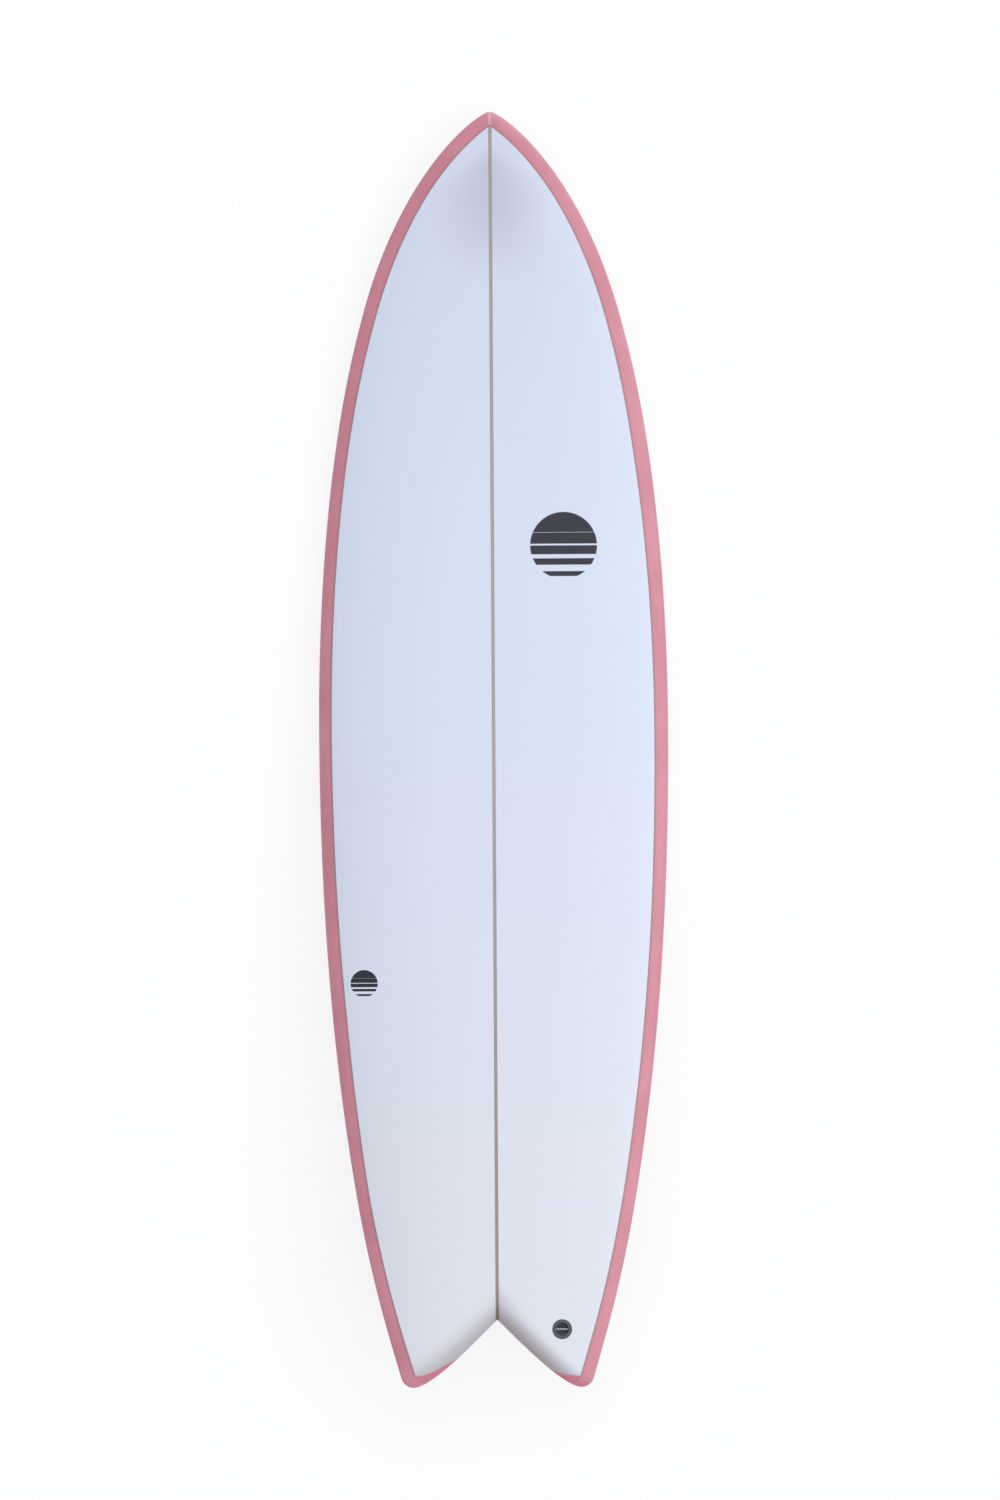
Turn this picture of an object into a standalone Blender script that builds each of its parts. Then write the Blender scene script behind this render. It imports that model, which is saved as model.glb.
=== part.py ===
"""A fish surfboard with a swallow tail: a foam core split by a wooden stringer, glass skins, a leash
plug, and twin fins whose tabs are clamped by grub screws in plugs set in the bottom.

The board is shaped level, nose towards +Y and deck up, with s measured from the nose tip and q running
from 0 on the centre line to 1 on the rail. It is then laid down the way it rests, on fin tips and belly.
"""

import math

import bmesh
import bpy
import numpy as np
from mathutils import Matrix, Vector
from mathutils.geometry import interpolate_bezier

# Outline: widths at stations along the board, with the length of the curve handles at each
LENGTH = 1.829
NOSE_ROUND = 0.0157
NOSE_STATION = 0.305
NOSE_WIDTH = 0.3765
NOSE_ANGLE = math.radians(14.3)
NOSE_HANDLE_FORE = 0.230
NOSE_HANDLE_AFT = 0.035
WIDE_POINT = 0.886
WIDTH = 0.5013
WIDE_HANDLE_FORE = 0.362
WIDE_HANDLE_AFT = 0.240
TAIL_STATION = 0.305
TAIL_WIDTH = 0.4112
TAIL_ANGLE = math.radians(8.9)
TAIL_HANDLE_FORE = 0.195
TAIL_HANDLE_AFT = 0.152
TIP_SPREAD = 0.2684
TIP_ANGLE = math.radians(16.0)
TIP_HANDLE = 0.075
TIP_RADIUS = 0.013

# Swallow tail: the notch between the two tips
SWALLOW_DEPTH = 0.097
CROTCH_ANGLE = math.radians(45.0)
CROTCH_HANDLE = 0.060
SWALLOW_TIP_HANDLE = 0.025
SWALLOW_FADE = 0.45
SWALLOW_ROUND = 0.026
SWALLOW_LAND = 0.14

# Rocker and foil, in side view
NOSE_ROCKER = 0.118
TAIL_ROCKER = 0.045
FLAT_STATION = 0.960
NOSE_ROCKER_POWER = 2.5
TAIL_ROCKER_POWER = 2.2
THICKNESS = 0.0635
THICK_STATION = 0.900
NOSE_THICKNESS = 0.009
TAIL_THICKNESS = 0.015
NOSE_FOIL_POWER = 2.0
TAIL_FOIL_POWER = 2.2
NOSE_EDGE = 0.014

# Sections: how high the rail's edge sits, how hard it tucks under, and the bottom's concave
APEX_NOSE = 0.50
APEX_MIDDLE = 0.42
APEX_TAIL = 0.36
TUCK_NOSE = 9.0
TUCK_MIDDLE = 16.0
TUCK_TAIL = 26.0
DECK_POWER = 2.6
CONCAVE = 0.003
CONCAVE_REACH = 0.85

# Lay-up
SKIN = 0.0010
SKIN_SEAT = 0.0005
LAP = 0.018
STRINGER = 0.0048
GAP = 0.0003

# Leash plug, let into the deck near the right tail tip
LEASH_X = 0.093
LEASH_FROM_TAIL = 0.083
CUP_RADIUS = 0.0140
CUP_FLANGE = 0.0016
CUP_BODY_RADIUS = 0.0128
CUP_BORE_RADIUS = 0.0112
CUP_DEPTH = 0.0150
CUP_FLOOR = 0.0018
CUP_CHAMFER = 0.0005
BAR_RADIUS = 0.0022
BAR_DROP = 0.0052

# Fins and the plugs that hold them
FIN_FROM_TAIL = 0.190
FIN_FROM_RAIL = 0.046
FIN_TOE = math.radians(2.0)
FIN_CANT = math.radians(5.0)
FIN_BASE = 0.140
FIN_HEIGHT = 0.122
FIN_RAKE = 0.062
FIN_ROOT_THICKNESS = 0.0076
FIN_TIP_THICKNESS = 0.0024
FIN_TRAILING_EDGE = 0.0008
FIN_BASE_GAP = 0.0008
LEADING_HANDLE = 0.075
LEADING_TIP_HANDLE = 0.070
TRAILING_HANDLE = 0.050
TRAILING_TIP_HANDLE = 0.030
TRAILING_LEAN = math.radians(24.0)
LEADING_LEAN = math.radians(24.0)
TAB_LENGTH = 0.0240
TAB_THICKNESS = 0.0062
TAB_DEPTH = 0.0125
TAB_SPACING = 0.068
TAB_CORNER = 0.0015
TAB_ROOT = 0.004
SLOT_FLOOR_GAP = 0.0006
PLUG_RADIUS = 0.0150
PLUG_FLANGE = 0.0016
PLUG_BODY_RADIUS = 0.0142
PLUG_DEPTH = 0.0160
SCREW_RADIUS = 0.0024
SCREW_LENGTH = 0.0070
SCREW_ANGLE = math.radians(30.0)
SCREW_TIP_HEIGHT = 0.0082
SCREW_SOCKET = 0.0014
SCREW_SOCKET_DEPTH = 0.0025

# Fineness of the surfaces: shares of an edge's radius, of a width, of a span or of a chord
MAIN_ROWS = 18
MAIN_ROWS_EASE = 0.5
NOSE_ROWS = (0.0, 0.07, 0.28, 0.62, 1.0, 2.2, 3.7, 5.8)
TAIL_ROWS = (1.75, 1.15, 0.75, 0.42, 0.18, 0.05, 0.0)
INNER_COLUMNS = (0.0, 0.22, 0.43, 0.62, 0.78, 0.90, 1.0)
LAP_COLUMNS = (0.0, 0.36, 0.68, 0.90, 1.0)
FIN_ROWS = (0.0, 0.14, 0.30, 0.46, 0.62, 0.76, 0.87, 0.945, 0.985, 0.998)
FOIL_COLUMNS = (0.0, 0.025, 0.09, 0.20, 0.34, 0.52, 0.70, 0.86, 1.0)
ROUND_STEPS = 24
BORE_STEPS = 16
CORNER_STEPS = 3
HEX_SIDES = 6
CURVE_SAMPLES = 90
SOLVER_STEPS = 60
PROBE = 0.004
SLOPE_PROBE = 0.0005
WELD = 0.000002
CUT_REACH = 0.004


def make_collection(name):
    collection = bpy.data.collections.new(name)
    bpy.context.scene.collection.children.link(collection)
    return collection


for leftover in list(bpy.data.objects):
    bpy.data.objects.remove(leftover, do_unlink=True)
PARTS = make_collection("surfboard")
CUTTERS = make_collection("surfboard_cutters")


# Materials

def linear(channel):
    value = channel / 255
    return value / 12.92 if value <= 0.04045 else ((value + 0.055) / 1.055) ** 2.4


def material(name, red, green, blue, roughness, metallic=0.0):
    made = bpy.data.materials.new(name)
    made.use_nodes = True
    shader = made.node_tree.nodes["Principled BSDF"]
    colour = (linear(red), linear(green), linear(blue), 1)
    shader.inputs["Base Color"].default_value = colour
    shader.inputs["Roughness"].default_value = roughness
    shader.inputs["Metallic"].default_value = metallic
    made.diffuse_color = colour
    return made


# Objects

def place(name, mesh, parent, finish):
    """A visible piece, carried by an empty."""
    piece = bpy.data.objects.new(name, mesh)
    PARTS.objects.link(piece)
    piece.parent = parent
    piece.data.materials.append(finish)
    piece.data.shade_smooth()
    piece.data.set_sharp_from_angle(angle=math.radians(32))
    return piece


def helper(name, mesh, parent):
    """A cutter, or a lump to be joined on, which isn't a piece by itself."""
    cutter = bpy.data.objects.new(name, mesh)
    CUTTERS.objects.link(cutter)
    cutter.parent = parent
    cutter.hide_render = True
    cutter.display_type = "WIRE"
    return cutter


def empty(name, parent, matrix):
    carrier = bpy.data.objects.new(name, None)
    PARTS.objects.link(carrier)
    carrier.parent = parent
    carrier.matrix_local = matrix
    carrier.empty_display_size = 0.05
    return carrier


def combine(piece, other, operation):
    boolean = piece.modifiers.new(f"{operation.lower()} {other.name}", "BOOLEAN")
    boolean.operation = operation
    boolean.object = other


def mesh_of(bm, name):
    mesh = bpy.data.meshes.new(name)
    bm.to_mesh(mesh)
    bm.free()
    return mesh


def turned(name, profile, steps):
    """A mesh turned round Z from (radius, height) points, by a Screw modifier that is then applied."""
    bm = bmesh.new()
    points = [bm.verts.new((radius, 0, height)) for radius, height in profile]
    for start, end in zip(points, points[1:]):
        bm.edges.new((start, end))
    guide = bpy.data.objects.new(name, mesh_of(bm, name))
    CUTTERS.objects.link(guide)
    screw = guide.modifiers.new("turn", "SCREW")
    screw.steps = steps
    screw.render_steps = steps
    screw.use_merge_vertices = True
    screw.merge_threshold = WELD
    graph = bpy.context.evaluated_depsgraph_get()
    mesh = bpy.data.meshes.new_from_object(guide.evaluated_get(graph))
    bpy.data.objects.remove(guide, do_unlink=True)
    return mesh


def rod(name, radius, low, high, steps, turn=Matrix.Identity(4)):
    """A cylinder between two heights on its own axis, which turn may lay down."""
    bm = bmesh.new()
    bmesh.ops.create_cone(
        bm, cap_ends=True, segments=steps, radius1=radius, radius2=radius, depth=high - low,
        matrix=turn @ Matrix.Translation((0, 0, (low + high) / 2)),
    )
    return mesh_of(bm, name)


def block(name, low, high, corner):
    """A box whose upright edges are rounded."""
    bm = bmesh.new()
    size = Vector(high) - Vector(low)
    middle = (Vector(high) + Vector(low)) / 2
    bmesh.ops.create_cube(bm, size=1, matrix=Matrix.Translation(middle) @ Matrix.Diagonal((*size, 1)))
    upright = [edge for edge in bm.edges if abs(edge.verts[0].co.z - edge.verts[1].co.z) > size.z / 2]
    bmesh.ops.bevel(bm, geom=upright, offset=corner, segments=CORNER_STEPS, profile=0.5, affect="EDGES")
    return mesh_of(bm, name)


# The hull's surface

def curve(start, start_handle, end_handle, end):
    points = interpolate_bezier(start, start_handle, end_handle, end, CURVE_SAMPLES)
    return np.array([point[:2] for point in points])


def outline():
    """Half widths along the board, as sampled (s, half width) points, before the tips are rounded."""
    knots = [
        (0.0, 0.0, math.pi / 2, 0.0, NOSE_ROUND),
        (NOSE_STATION, NOSE_WIDTH / 2, NOSE_ANGLE, NOSE_HANDLE_FORE, NOSE_HANDLE_AFT),
        (WIDE_POINT, WIDTH / 2, 0.0, WIDE_HANDLE_FORE, WIDE_HANDLE_AFT),
        (LENGTH - TAIL_STATION, TAIL_WIDTH / 2, -TAIL_ANGLE, TAIL_HANDLE_FORE, TAIL_HANDLE_AFT),
        (LENGTH, TIP_SPREAD / 2, -TIP_ANGLE, TIP_HANDLE, 0.0),
    ]
    spans = []
    for first, second in zip(knots, knots[1:]):
        start = Vector((first[0], first[1], 0))
        end = Vector((second[0], second[1], 0))
        leaving = Vector((math.cos(first[2]), math.sin(first[2]), 0)) * first[4]
        arriving = Vector((math.cos(second[2]), math.sin(second[2]), 0)) * second[3]
        spans.append(curve(start, start + leaving, end - arriving, end))
    return np.concatenate(spans)


OUTLINE = outline()


def template(s):
    return float(np.interp(s, OUTLINE[:, 0], OUTLINE[:, 1]))


def half_width(s):
    """Half the board's width at s, with the tail tips rounded."""
    height = min(max(LENGTH - s, 0), TIP_RADIUS)
    arc = TIP_RADIUS - math.sqrt(TIP_RADIUS**2 - (TIP_RADIUS - height) ** 2)
    return template(s) - arc


def swallow():
    """The notch's edge, as sampled points of (distance from the centre line, rise above the tips)."""
    tip = half_width(LENGTH)
    start = Vector((0, SWALLOW_DEPTH, 0))
    leaving = Vector((math.sin(CROTCH_ANGLE), -math.cos(CROTCH_ANGLE), 0)) * CROTCH_HANDLE
    end = Vector((tip, 0, 0))
    points = curve(start, start + leaving, end - Vector((SWALLOW_TIP_HANDLE, 0, 0)), end)
    points[:, 0] /= tip
    return points


SWALLOW = swallow()


def tail_rise(q):
    return float(np.interp(q, SWALLOW[:, 0], SWALLOW[:, 1]))


def fade(s_rail):
    """How far a cross line that meets the rail at s_rail still bends with the notch, from 1 to 0."""
    return max(0.0, 1 - (LENGTH - s_rail) / SWALLOW_FADE) ** 2


def rocker(s):
    if s < FLAT_STATION:
        return NOSE_ROCKER * ((FLAT_STATION - s) / FLAT_STATION) ** NOSE_ROCKER_POWER
    return TAIL_ROCKER * ((s - FLAT_STATION) / (LENGTH - FLAT_STATION)) ** TAIL_ROCKER_POWER


def thickness(s):
    if s < THICK_STATION:
        share = 1 - ((THICK_STATION - s) / THICK_STATION) ** NOSE_FOIL_POWER
        return NOSE_THICKNESS + (THICKNESS - NOSE_THICKNESS) * share
    share = 1 - ((s - THICK_STATION) / (LENGTH - THICK_STATION)) ** TAIL_FOIL_POWER
    return TAIL_THICKNESS + (THICKNESS - TAIL_THICKNESS) * share


def along(s, nose, middle, tail):
    """A section's value at s, from those at the nose, the flat spot and the tail."""
    return float(np.interp(s, (0, FLAT_STATION, LENGTH), (nose, middle, tail)))


def rounding(distance, radius):
    """How much of the full depth a rounded edge has reached, this far in from it."""
    share = min(max(distance / radius, 0), 1)
    return math.sqrt(1 - (1 - share) ** 2)


def hull(s_rail, q, face, seam=None):
    """A point of the surface on the right half: face is 1 for the deck and -1 for the bottom. With a
    seam, the point lies on the board's edge line, that far above it."""
    x = q * half_width(s_rail)
    s = s_rail - tail_rise(q) * fade(s_rail)
    depth = thickness(s)
    edge = along(s, APEX_NOSE, APEX_MIDDLE, APEX_TAIL) * depth
    hollow = 0.0
    if seam is not None:
        height = edge + seam
    else:
        from_tail = LENGTH - tail_rise(q) - s
        tail = SWALLOW_LAND + (1 - SWALLOW_LAND) * rounding(from_tail, SWALLOW_ROUND)
        closing = tail * rounding(s, NOSE_EDGE)
        if face > 0:
            height = edge + (depth - edge) * math.sqrt(1 - q**DECK_POWER) * closing
        else:
            height = edge - edge * math.sqrt(1 - q ** along(s, TUCK_NOSE, TUCK_MIDDLE, TUCK_TAIL)) * closing
            reach = max(0.0, 1 - (q / CONCAVE_REACH) ** 2)
            hollow = along(s, 0, CONCAVE, CONCAVE) * reach * closing
    return Vector((x, LENGTH / 2 - s, rocker(s) + height + hollow))


def surface(x, s, face):
    """The surface point over a place in plan, found by stepping back along the bent cross lines."""
    s_rail = s
    for _ in range(SOLVER_STEPS):
        q = abs(x) / half_width(s_rail)
        s_rail = s + tail_rise(q) * fade(s_rail)
    point = hull(s_rail, q, face)
    point.x = x
    return point


def seat(x, s, face):
    """The surface point and its outward normal."""
    across = surface(x + PROBE, s, face) - surface(x - PROBE, s, face)
    lengthwise = surface(x, s - PROBE, face) - surface(x, s + PROBE, face)
    return surface(x, s, face), across.cross(lengthwise).normalized() * face


def spread(s):
    """How much longer a cut across the board is than one square to the rail."""
    fore = max(s - SLOPE_PROBE, 0)
    aft = s + SLOPE_PROBE
    return math.hypot(1, (template(aft) - template(fore)) / (aft - fore))


def lap_line(s, inset):
    return max(0.0, 1 - inset * spread(s) / half_width(s)) if s > 0 else 0.0


def lap_point(inset):
    """Where the lap lines of the two rails meet on the centre line, near the nose."""
    low, high = 0.0, NOSE_STATION
    for _ in range(SOLVER_STEPS):
        middle = (low + high) / 2
        if half_width(middle) > inset * spread(middle):
            high = middle
        else:
            low = middle
    return high


def stations(first):
    """Where the cross lines meet the rail, from nose to tail, starting at first if it isn't the tip."""
    nose = [NOSE_EDGE * share for share in NOSE_ROWS]
    tail = [LENGTH - SWALLOW_ROUND * share for share in TAIL_ROWS]
    shares = np.linspace(0, 1, MAIN_ROWS + 2)[1:-1]
    eased = shares - MAIN_ROWS_EASE * np.sin(2 * math.pi * shares) / (2 * math.pi)
    main = list(nose[-1] + (tail[0] - nose[-1]) * eased)
    return [first] + [s for s in nose + main + tail if s > first]


def sheet(rows, name):
    """A surface through rows of points that run from the deck round to the bottom."""
    bm = bmesh.new()
    grid = [[bm.verts.new(point) for point in row] for row in rows]
    for fore, aft in zip(grid, grid[1:]):
        for j in range(len(fore) - 1):
            bm.faces.new((fore[j], aft[j], aft[j + 1], fore[j + 1]))
    bmesh.ops.remove_doubles(bm, verts=bm.verts[:], dist=WELD)
    return mesh_of(bm, name)


def skin(piece):
    """Mirrors half a sheet across the stringer and gives it the thickness of the glass, inwards."""
    mirror = piece.modifiers.new("mirror", "MIRROR")
    mirror.use_clip = True
    mirror.merge_threshold = WELD
    wall = piece.modifiers.new("glass", "SOLIDIFY")
    wall.thickness = SKIN
    wall.offset = -1
    wall.use_even_offset = True
    wall.use_quality_normals = True


def deck_rows():
    inset = LAP + GAP
    rows = []
    for s in stations(lap_point(inset)):
        rows.append([hull(s, share * lap_line(s, inset), 1) for share in INNER_COLUMNS])
    rows.append([hull(LENGTH, share * lap_line(LENGTH, inset), 1, GAP / 2) for share in INNER_COLUMNS])
    return rows


def bottom_row(s, sealed):
    """From the lap's edge on the deck, round the rail and across the bottom. A sealed row lies on the
    tail's edge line, where the lap closes over the tips and the rest stops short of the deck skin."""
    line = lap_line(s, LAP)
    lap = [line + (1 - line) * share for share in LAP_COLUMNS]
    inner = [line * share for share in reversed(INNER_COLUMNS[:-1])]
    if sealed:
        over = [hull(s, q, 1, 0) for q in lap]
        return over + over[-2::-1] + [hull(s, q, -1, -GAP / 2) for q in inner]
    over = [hull(s, q, 1) for q in lap]
    under = [hull(s, q, -1) for q in lap[-2::-1]]
    return over + under + [hull(s, q, -1) for q in inner]


def bottom_rows():
    meeting = lap_point(LAP)
    fore = [s for s in stations(0.0) if s < meeting]
    aft = stations(meeting)
    return [bottom_row(s, False) for s in fore + aft] + [bottom_row(LENGTH, True)]


def core():
    """The shaped core, foam and stringer together, as a closed mesh set in from the skins."""
    rows = []
    for s in stations(0.0):
        line = lap_line(s, LAP)
        across = [line * share for share in INNER_COLUMNS]
        across += [line + (1 - line) * share for share in LAP_COLUMNS[1:]]
        rows.append([hull(s, q, 1) for q in across] + [hull(s, q, -1) for q in across[-2::-1]])
    rows.append([hull(LENGTH, q, 1, 0) for q in across] + [hull(LENGTH, q, 1, 0) for q in across[-2::-1]])
    half = sheet(rows, "core")
    bm = bmesh.new()
    bm.from_mesh(half)
    bpy.data.meshes.remove(half)
    bmesh.ops.mirror(bm, geom=bm.verts[:] + bm.edges[:] + bm.faces[:], axis="X", merge_dist=WELD)
    bmesh.ops.recalc_face_normals(bm, faces=bm.faces[:])
    bm.normal_update()
    moves = [vertex.normal * (SKIN + SKIN_SEAT) for vertex in bm.verts]
    for vertex, move in zip(bm.verts, moves):
        vertex.co -= move
    return bm


def core_slice(whole, name, low, high):
    """The part of the core between two planes along the board; None leaves that side whole."""
    bm = whole.copy()
    for x, keep in ((low, 1), (high, -1)):
        if x is None:
            continue
        bmesh.ops.bisect_plane(
            bm, geom=bm.verts[:] + bm.edges[:] + bm.faces[:], dist=WELD / 2,
            plane_co=(x, 0, 0), plane_no=(keep, 0, 0), clear_inner=True,
        )
        rim = [edge for edge in bm.edges if edge.is_boundary]
        bmesh.ops.holes_fill(bm, edges=rim)
    bmesh.ops.recalc_face_normals(bm, faces=bm.faces[:])
    return mesh_of(bm, name)


# Fittings

def cup_profile(grow):
    """The outside of the leash cup, from its rim down, made larger all round for its pocket."""
    return [
        (CUP_RADIUS + grow, -CUP_CHAMFER),
        (CUP_RADIUS + grow, -CUP_FLANGE - grow),
        (CUP_BODY_RADIUS + grow, -CUP_FLANGE - grow),
        (CUP_BODY_RADIUS + grow, -CUP_DEPTH - grow),
        (0, -CUP_DEPTH - grow),
    ]


def plug_profile(grow):
    """The outside of a fin plug, from its inner end to its face in the board's bottom."""
    return [
        (0, PLUG_DEPTH + grow),
        (PLUG_BODY_RADIUS + grow, PLUG_DEPTH + grow),
        (PLUG_BODY_RADIUS + grow, PLUG_FLANGE + grow),
        (PLUG_RADIUS + grow, PLUG_FLANGE + grow),
    ]


def foil(chord, thick):
    """How far a fin's foiled side stands off its flat side, thickest a third of the way back."""
    crown = math.sqrt(chord) * (1 - chord) * math.sqrt(27) / 2
    return thick * crown + FIN_TRAILING_EDGE * chord


def blade(side):
    """A fin's blade: foil sections lofted from root to tip, flat on the side towards the stringer."""
    tip = Vector((-FIN_RAKE, FIN_HEIGHT, 0))
    fore = Vector((FIN_BASE / 2, 0, 0))
    aft = Vector((-FIN_BASE / 2, 0, 0))
    fore_lean = Vector((-math.sin(LEADING_LEAN), math.cos(LEADING_LEAN), 0)) * LEADING_HANDLE
    aft_lean = Vector((math.sin(TRAILING_LEAN), math.cos(TRAILING_LEAN), 0)) * TRAILING_HANDLE
    leading = curve(fore, fore + fore_lean, tip + Vector((LEADING_TIP_HANDLE, 0, 0)), tip)
    trailing = curve(aft, aft + aft_lean, tip - Vector((TRAILING_TIP_HANDLE, 0, 0)), tip)
    bm = bmesh.new()
    loops = []
    for share in FIN_ROWS:
        height = share * FIN_HEIGHT
        front = float(np.interp(height, leading[:, 1], leading[:, 0]))
        back = float(np.interp(height, trailing[:, 1], trailing[:, 0]))
        thick = FIN_ROOT_THICKNESS + (FIN_TIP_THICKNESS - FIN_ROOT_THICKNESS) * share
        section = [(foil(chord, thick), front + (back - front) * chord) for chord in FOIL_COLUMNS]
        section.append((0, back))
        flat = -TAB_THICKNESS / 2
        z = -FIN_BASE_GAP - height
        loops.append([bm.verts.new((side * (flat + out), y, z)) for out, y in section])
    for upper, lower in zip(loops, loops[1:]):
        for j in range(len(upper)):
            k = (j + 1) % len(upper)
            bm.faces.new((upper[j], upper[k], lower[k], lower[j]))
    bm.faces.new(loops[0])
    bm.faces.new(loops[-1])
    bmesh.ops.recalc_face_normals(bm, faces=bm.faces[:])
    return mesh_of(bm, "fin")


def screw_mount(side):
    """Turns an upright rod into a grub screw's place in its plug: the rod's foot is the screw's tip, which
    bears on the tab's inner face, and the rod rises along the way out, down and towards the stringer."""
    lean = SCREW_TIP_HEIGHT * math.tan(FIN_CANT)
    face = lean + TAB_THICKNESS / 2 / math.cos(FIN_CANT)
    tip_x = face + GAP + SCREW_RADIUS * math.cos(SCREW_ANGLE)
    place_tip = Matrix.Translation((-side * tip_x, 0, SCREW_TIP_HEIGHT))
    return place_tip @ Matrix.Rotation(math.pi + side * SCREW_ANGLE, 4, "Y")


def frame_at(point, x_axis, z_axis):
    """A frame with the given Z axis, whose X axis is as near as it can be to the one given."""
    y_axis = z_axis.cross(x_axis).normalized()
    x_axis = y_axis.cross(z_axis)
    turn = Matrix((x_axis, y_axis, z_axis)).transposed().to_4x4()
    return Matrix.Translation(point) @ turn


def add_leash_plug(board, deck, blank):
    point, normal = seat(LEASH_X, LENGTH - LEASH_FROM_TAIL, 1)
    carrier = empty("leash_seat", board, frame_at(point, Vector((1, 0, 0)), normal))
    black = material("leash_cup_plastic", 52, 56, 66, 0.45)
    inside = [
        (0, CUP_FLOOR - CUP_DEPTH),
        (CUP_BORE_RADIUS, CUP_FLOOR - CUP_DEPTH),
        (CUP_BORE_RADIUS, -CUP_CHAMFER),
        (CUP_BORE_RADIUS + CUP_CHAMFER, 0),
        (CUP_RADIUS - CUP_CHAMFER, 0),
    ]
    cup = place("leash_cup", turned("leash_cup", inside + cup_profile(0), ROUND_STEPS), carrier, black)
    lay = Matrix.Translation((0, 0, -BAR_DROP)) @ Matrix.Rotation(math.pi / 2, 4, "Y")
    reach = CUP_BODY_RADIUS + CUT_REACH
    holes = helper("bar_holes", rod("bar_holes", BAR_RADIUS + GAP, -reach, reach, BORE_STEPS, lay), carrier)
    combine(cup, holes, "DIFFERENCE")
    end = math.sqrt(CUP_BODY_RADIUS**2 - BAR_RADIUS**2)
    steel = material("leash_bar_metal", 104, 108, 117, 0.35, 0.6)
    place("leash_bar", rod("leash_bar", BAR_RADIUS, -end, end, BORE_STEPS, lay), carrier, steel)
    pocket_profile = [(0, CUT_REACH), (CUP_RADIUS + GAP, CUT_REACH)] + cup_profile(GAP)
    pocket = helper("leash_pocket", turned("leash_pocket", pocket_profile, ROUND_STEPS), carrier)
    for cut in (deck, blank):
        combine(cut, pocket, "DIFFERENCE")


def add_plug(bottom, blank, carrier, canted, fin, name, shift):
    """A plug in the bottom with its slot, the fin's tab that sits there, and the screw that clamps it."""
    side = 1 if fin.name.endswith("right") else -1
    low = Vector((-TAB_THICKNESS / 2, shift - TAB_LENGTH / 2, -FIN_BASE_GAP - TAB_ROOT))
    high = Vector((TAB_THICKNESS / 2, shift + TAB_LENGTH / 2, TAB_DEPTH))
    tab = helper(f"tab_{name}", block("tab", low, high, TAB_CORNER), canted)
    combine(fin, tab, "UNION")
    slot_low = (low.x - GAP, low.y - GAP, -CUT_REACH)
    slot_high = (high.x + GAP, high.y + GAP, TAB_DEPTH + SLOT_FLOOR_GAP)
    slot = helper(f"slot_{name}", block("slot", slot_low, slot_high, TAB_CORNER), canted)

    spot = empty(f"plug_seat_{name}", carrier, Matrix.Translation((0, shift, 0)))
    white = material(f"fin_plug_{name}_plastic", 214, 217, 223, 0.4)
    profile = plug_profile(0) + [(PLUG_RADIUS, 0), (0, 0)]
    plug = place(f"fin_plug_{name}", turned("fin_plug", profile, ROUND_STEPS), spot, white)
    combine(plug, slot, "DIFFERENCE")
    pocket_profile = plug_profile(GAP) + [(PLUG_RADIUS + GAP, -CUT_REACH), (0, -CUT_REACH)]
    pocket = helper(f"pocket_{name}", turned("pocket", pocket_profile, ROUND_STEPS), spot)
    for cut in (bottom, blank):
        combine(cut, pocket, "DIFFERENCE")

    axis = empty(f"screw_axis_{name}", spot, screw_mount(side))
    bore_mesh = rod("bore", SCREW_RADIUS + GAP, -CUT_REACH / 2, SCREW_LENGTH + PLUG_DEPTH, BORE_STEPS)
    combine(plug, helper(f"bore_{name}", bore_mesh, axis), "DIFFERENCE")
    steel = material(f"fin_screw_{name}_steel", 176, 178, 182, 0.3, 1.0)
    grub = rod("fin_screw", SCREW_RADIUS, 0, SCREW_LENGTH, BORE_STEPS)
    screw = place(f"fin_screw_{name}", grub, axis, steel)
    socket_low = SCREW_LENGTH - SCREW_SOCKET_DEPTH
    socket_mesh = rod("socket", SCREW_SOCKET, socket_low, SCREW_LENGTH + CUT_REACH, HEX_SIDES)
    combine(screw, helper(f"socket_{name}", socket_mesh, axis), "DIFFERENCE")


def add_fin(board, bottom, blank, word, side):
    station = LENGTH - FIN_FROM_TAIL
    point, normal = seat(side * (half_width(station) - FIN_FROM_RAIL), station, -1)
    across = Matrix.Rotation(side * FIN_TOE, 3, "Z") @ Vector((1, 0, 0))
    carrier = empty(f"fin_seat_{word}", board, frame_at(point, across, -normal))
    canted = empty(f"fin_cant_{word}", carrier, Matrix.Rotation(-side * FIN_CANT, 4, "Y"))
    fin = place(f"fin_{word}", blade(side), canted, material(f"fin_{word}_composite", 44, 47, 55, 0.35))
    for end, toward in (("front", 1), ("rear", -1)):
        add_plug(bottom, blank, carrier, canted, fin, f"{word}_{end}", toward * TAB_SPACING / 2)
    return fin


# Laying the board down

def points_of(piece):
    graph = bpy.context.evaluated_depsgraph_get()
    shape = piece.evaluated_get(graph)
    mesh = shape.to_mesh()
    local = np.empty(len(mesh.vertices) * 3)
    mesh.vertices.foreach_get("co", local)
    shape.to_mesh_clear()
    world = np.array(piece.matrix_world)
    return local.reshape(-1, 3) @ world[:3, :3].T + world[:3, 3]


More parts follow.
